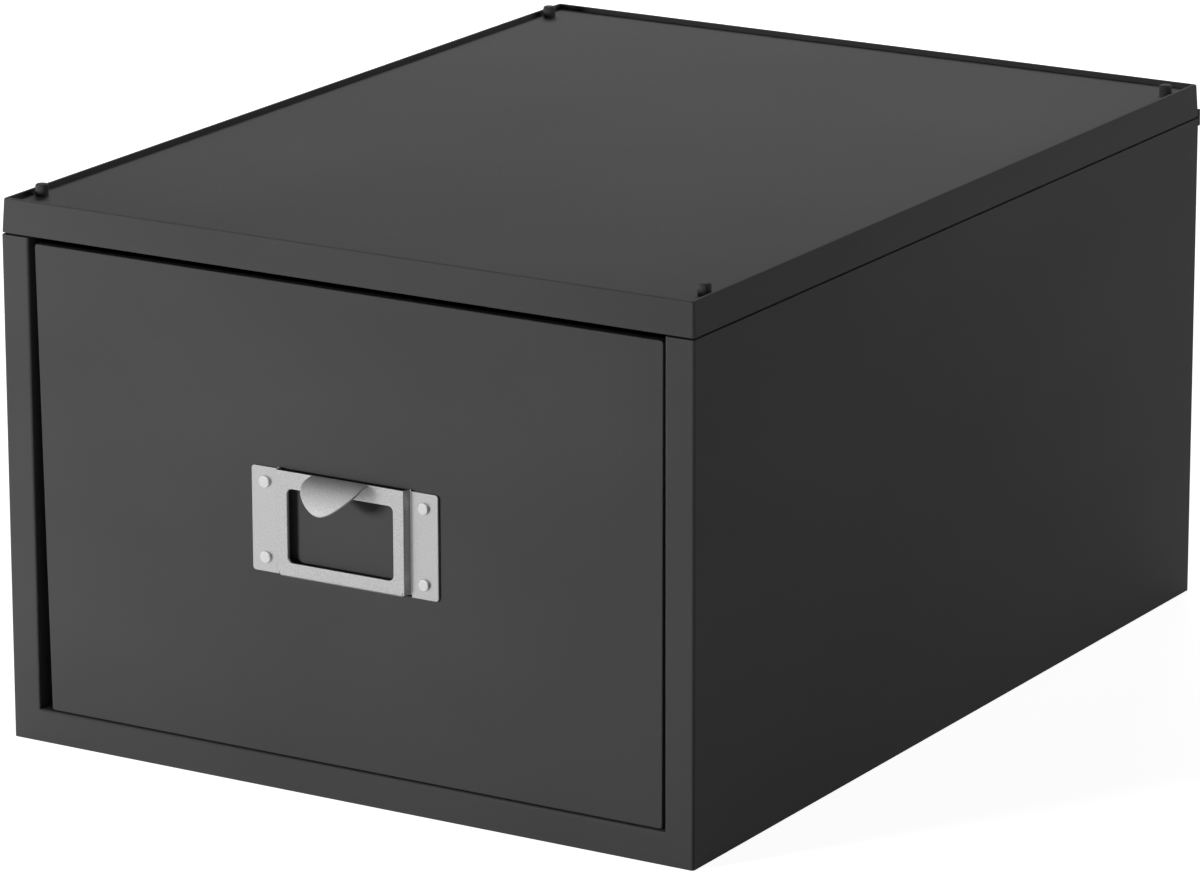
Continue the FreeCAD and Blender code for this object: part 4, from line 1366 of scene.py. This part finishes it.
@dataclass
class FrontScrews:
    """Four pan-head screws with cross recesses that hold the front to the tray."""

    centre_x: float = 1.0 * MM
    across: float = 190.0 * MM
    low: float = 34.9 * MM
    high: float = 145.2 * MM
    wall_y: float = -166.5 * MM
    head_radius: float = 4.4 * MM
    head_height: float = 1.8 * MM
    head_edge: float = 0.7 * MM
    dome_rise: float = 1.1 * MM
    dome_angles: tuple[int, ...] = (15, 30, 45, 60, 75)
    shank_radius: float = 1.5 * MM
    shank_length: float = 3.6 * MM
    recess_reach: float = 2.3 * MM
    recess_width: float = 0.9 * MM
    recess_depth: float = 1.2 * MM
    recess_clear: float = 0.3 * MM
    recess_taper: tuple[float, float] = (0.55, 1.1)
    steps: int = 32

    def profile(self) -> list[Point]:
        """Gives the screw's profile as (radius, y), from the tip to the crown of the head.

        Returns:
            The profile's points.
        """
        tip, edge = self.wall_y - self.shank_length, self.wall_y + self.head_edge
        dome = [(self.head_radius * math.cos(t), edge + self.dome_rise * math.sin(t))
                for t in map(math.radians, self.dome_angles)]
        return [(0.0, tip), (self.shank_radius, tip), (self.shank_radius, self.wall_y),
                (self.head_radius, self.wall_y), (self.head_radius, edge)] + dome + [
                    (0.0, self.wall_y + self.head_height)]

    def cross_cutter(self) -> Shape:
        """Builds the tapered cross that is cut out of the head.

        Returns:
            The mesh.
        """
        crown = self.wall_y + self.head_height
        reach, half = self.recess_reach, self.recess_width / 2
        plan = [(reach, half), (half, half), (half, reach),
                (-half, reach), (-half, half), (-reach, half),
                (-reach, -half), (-half, -half), (-half, -reach),
                (half, -reach), (half, -half), (reach, -half)]
        levels = zip((crown - self.recess_depth, crown + self.recess_clear), self.recess_taper)
        shape = bmesh.new()
        loft(shape, [[Vector((x * scale, y, z * scale)) for x, z in plan] for y, scale in levels])
        bmesh.ops.recalc_face_normals(shape, faces=shape.faces)
        return shape

    def build(self, shop: Workshop) -> None:
        """Makes the screws, each turned by a different amount.

        Args:
            shop: The workshop.
        """
        screws = shop.piece("screws", turned(self.profile(), Axis.Y, self.steps), SCREW_FINISH)
        cutter = shop.piece("screw_cross_cutter", self.cross_cutter(), SCREW_FINISH)
        cut = screws.modifiers.new("cross recess", "BOOLEAN")
        cut.operation = "DIFFERENCE"
        cut.solver = "EXACT"
        cut.object = cutter
        freeze(screws)
        bpy.data.objects.remove(cutter)
        shop.set_fasteners(screws, "screw places", (self.across, self.high - self.low),
                           (self.centre_x, (self.low + self.high) / 2), SCREW_FINISH)
        shop.hand_over(screws, Body.DRAWER, Slot.ZINC_SCREW, "front_screws")


@dataclass
class CarriedParts:
    """The CAD nodes that keep their own shape and get a finish here."""

    moulded: tuple[str, ...] = ("lid_clip_left", "lid_clip_right", "drawer_front")
    inner: tuple[str, ...] = ("drawer_tray",)
    sliding: tuple[str, ...] = ("runner_left", "runner_right")

    def build(self, shop: Workshop) -> None:
        """Dresses each node.

        Args:
            shop: The workshop.
        """
        kinds = ((self.moulded, CASE_FINISH), (self.inner, TRAY_FINISH), (self.sliding, RUNNER_FINISH))
        for names, finish in kinds:
            for name in names:
                shop.dress_node(name, finish)


# ---------------------------------------------------------------- the studio


@dataclass(frozen=True)
class Lamp:
    """A soft rectangular lamp: its place, the point that it faces, its width and height, and its watts."""

    name: str
    place: Place
    aim: Place
    size: Point
    power: float

    def hang(self) -> None:
        """Hangs the lamp. It lights the pieces but doesn't show in their reflections."""
        light = bpy.data.lights.new(self.name, "AREA")
        light.shape = "RECTANGLE"
        light.size, light.size_y = self.size
        light.energy = self.power
        hung = bpy.data.objects.new(self.name, light)
        hung.location = self.place
        hung.visible_glossy = False
        hung.rotation_euler = (Vector(self.aim) - Vector(self.place)).to_track_quat("-Z", "Y").to_euler()
        bpy.context.scene.collection.objects.link(hung)


@dataclass
class Studio:
    """A pale floor, a room with a bright side, soft lamps and the camera."""

    floor_radius: float = 8.0
    floor_sides: int = 96
    floor_tone: float = 0.6
    floor_tone_change: float = 0.01
    floor_cloud: float = 0.6
    floor_glow: float = 0.92
    floor_mirror_left: float = 1.03
    floor_mirror_right: float = 0.10
    floor_fade: tuple[float, float] = (-0.06, 0.20)
    ambient: float = 0.025
    bright_side: Place = (-0.62, -0.77, 0.15)
    bright_level: float = 1.60
    dark_level: float = 0.10
    bright_reach: tuple[float, float] = (80.0, 30.0)
    ceiling: float = 0.85
    wall_shade: tuple[float, float] = (15.0, 30.0)
    ceiling_reach: tuple[float, float] = (38.0, 46.0)
    lamps: tuple[Lamp, ...] = (
        Lamp("front lamp", (-0.60, -1.20, 0.205), (0.0, -0.17, 0.09), (0.30, 0.16), 11.8),
        Lamp("back lamp", (-1.00, 1.60, 1.25), (0.0, 0.0, 0.18), (1.2, 0.9), 64.0),
        Lamp("right lamp", (1.15, 1.05, 0.44), (0.13, 0.0, 0.09), (0.8, 0.6), 7.6))
    camera_target: Place = (0.13153, -0.23047, 0.15411)
    camera_distance: float = 2.02098
    azimuth: float = 31.232
    elevation: float = 15.936
    roll: float = -0.126
    focal_pixels: float = 6785.0
    image_width: float = 1200.0
    sensor: float = 36.0
    view_reach: float = 50.0

    def floor_material(self) -> bpy.types.Material:
        """Builds the floor's material: white to the eye with its shadow, and white on the left in a mirror.

        Returns:
            The material.
        """
        board, material = ShaderBoard.for_material("studio floor")
        rays = board.add("ShaderNodeLightPath").outputs
        cloud = board.grain(self.floor_cloud, detail=2.0)
        cloud = board.around(cloud, self.floor_tone, self.floor_tone_change)
        cloud = board.math("MULTIPLY", cloud, board.math("SUBTRACT", 1.0, rays["Is Glossy Ray"]))
        tone = board.add("ShaderNodeCombineColor", {"Red": cloud, "Green": cloud, "Blue": cloud})
        paper = board.add("ShaderNodeBsdfDiffuse", {"Color": tone.outputs["Color"], "Roughness": 1.0})
        place = board.add("ShaderNodeTexCoord")
        way = board.add("ShaderNodeSeparateXYZ", {"Vector": place.outputs["Object"]})
        mirror = board.spread(way.outputs["X"], self.floor_mirror_left, self.floor_mirror_right,
                              *self.floor_fade, Ramp.SOFT)
        strength = board.largest(
            board.math("MULTIPLY", rays["Is Glossy Ray"], mirror),
            board.math("MULTIPLY", rays["Is Camera Ray"], self.floor_glow),
            board.math("MULTIPLY", rays["Is Transmission Ray"], self.floor_glow))
        glow = board.add("ShaderNodeEmission", {"Color": (1.0, 1.0, 1.0, 1.0), "Strength": strength})
        both = board.add("ShaderNodeAddShader", {0: paper.outputs["BSDF"], 1: glow.outputs["Emission"]})
        board.finish(both.outputs["Shader"])
        return material

    def build_floor(self) -> None:
        """Lays the floor as a wide disc under the foot rim."""
        shape = bmesh.new()
        bmesh.ops.create_circle(shape, cap_ends=True, segments=self.floor_sides, radius=self.floor_radius)
        mesh = bpy.data.meshes.new("studio_floor")
        shape.to_mesh(mesh)
        shape.free()
        mesh.materials.append(self.floor_material())
        floor = bpy.data.objects.new("studio_floor", mesh)
        bpy.context.scene.collection.objects.link(floor)

    def build_world(self) -> None:
        """Makes the surroundings: white to the eye, bright on one side in reflections, and dim as light."""
        world = bpy.data.worlds.new("studio room")
        world.use_nodes = True
        world.node_tree.nodes.clear()
        board = ShaderBoard(world.node_tree)
        place = board.add("ShaderNodeTexCoord")
        way = board.add("ShaderNodeSeparateXYZ", {"Vector": place.outputs["Object"]})
        toward = board.add("ShaderNodeVectorMath", {0: place.outputs["Object"], 1: self.bright_side},
                           operation="DOT_PRODUCT")
        shade, roof = ([math.sin(math.radians(angle)) for angle in reach]
                       for reach in (self.wall_shade, self.ceiling_reach))
        near = [math.cos(math.radians(angle)) for angle in self.bright_reach]
        upper_wall = board.spread(way.outputs["Z"], self.dark_level, self.ceiling, *shade, Ramp.SOFT)
        walls = board.spread(toward.outputs["Value"], upper_wall, self.bright_level, *near, Ramp.SOFT)
        rise = board.spread(way.outputs["Z"], 0.0, 1.0, *roof, Ramp.SOFT)
        room = board.add("ShaderNodeMix", {"Factor": rise, "A": walls, "B": self.ceiling}, data_type="FLOAT")
        rays = board.add("ShaderNodeLightPath").outputs
        strength = board.largest(
            board.math("MULTIPLY", rays["Is Glossy Ray"], room.outputs["Result"]),
            board.largest(rays["Is Camera Ray"], rays["Is Transmission Ray"]), self.ambient)
        sky = board.add("ShaderNodeBackground", {"Color": (1.0, 1.0, 1.0, 1.0), "Strength": strength})
        board.finish(sky.outputs["Background"], "ShaderNodeOutputWorld")
        bpy.context.scene.world = world

    def build_camera(self) -> None:
        """Sets the camera, with the lens given by its focal length in pixels."""
        turn, lift = math.radians(self.azimuth), math.radians(self.elevation)
        back = Vector((math.sin(turn) * math.cos(lift), -math.cos(turn) * math.cos(lift), math.sin(lift)))
        right = (-back).cross(Vector((0.0, 0.0, 1.0))).normalized()
        above = right.cross(-back)
        tilt = math.radians(self.roll)
        side = right * math.cos(tilt) + above * math.sin(tilt)
        top = above * math.cos(tilt) - right * math.sin(tilt)
        lens = bpy.data.cameras.new("camera")
        lens.sensor_width = self.sensor
        lens.lens = self.focal_pixels * self.sensor / self.image_width
        lens.clip_end = self.view_reach
        camera = bpy.data.objects.new("camera", lens)
        stand = Matrix.Translation(Vector(self.camera_target) + back * self.camera_distance)
        camera.matrix_world = stand @ Matrix((side, top, back)).transposed().to_4x4()
        bpy.context.scene.collection.objects.link(camera)
        bpy.context.scene.camera = camera

    def build(self) -> None:
        """Sets up the floor, the surroundings, the lamps and the camera."""
        bpy.context.scene.view_settings.view_transform = "Standard"
        self.build_floor()
        self.build_world()
        for lamp in self.lamps:
            lamp.hang()
        self.build_camera()


def main() -> None:
    """Builds the sub-assemblies in order and sets up the studio."""
    logging.basicConfig(level=logging.INFO, format="%(name)s: %(message)s")
    shop = Workshop(Paintbox())
    for part in (CaseShell(), TopPanel(), LabelHolder(), HolderRivets(), FrontScrews(), CarriedParts()):
        part.build(shop)
    Studio().build()


if __name__ == "__main__":
    main()
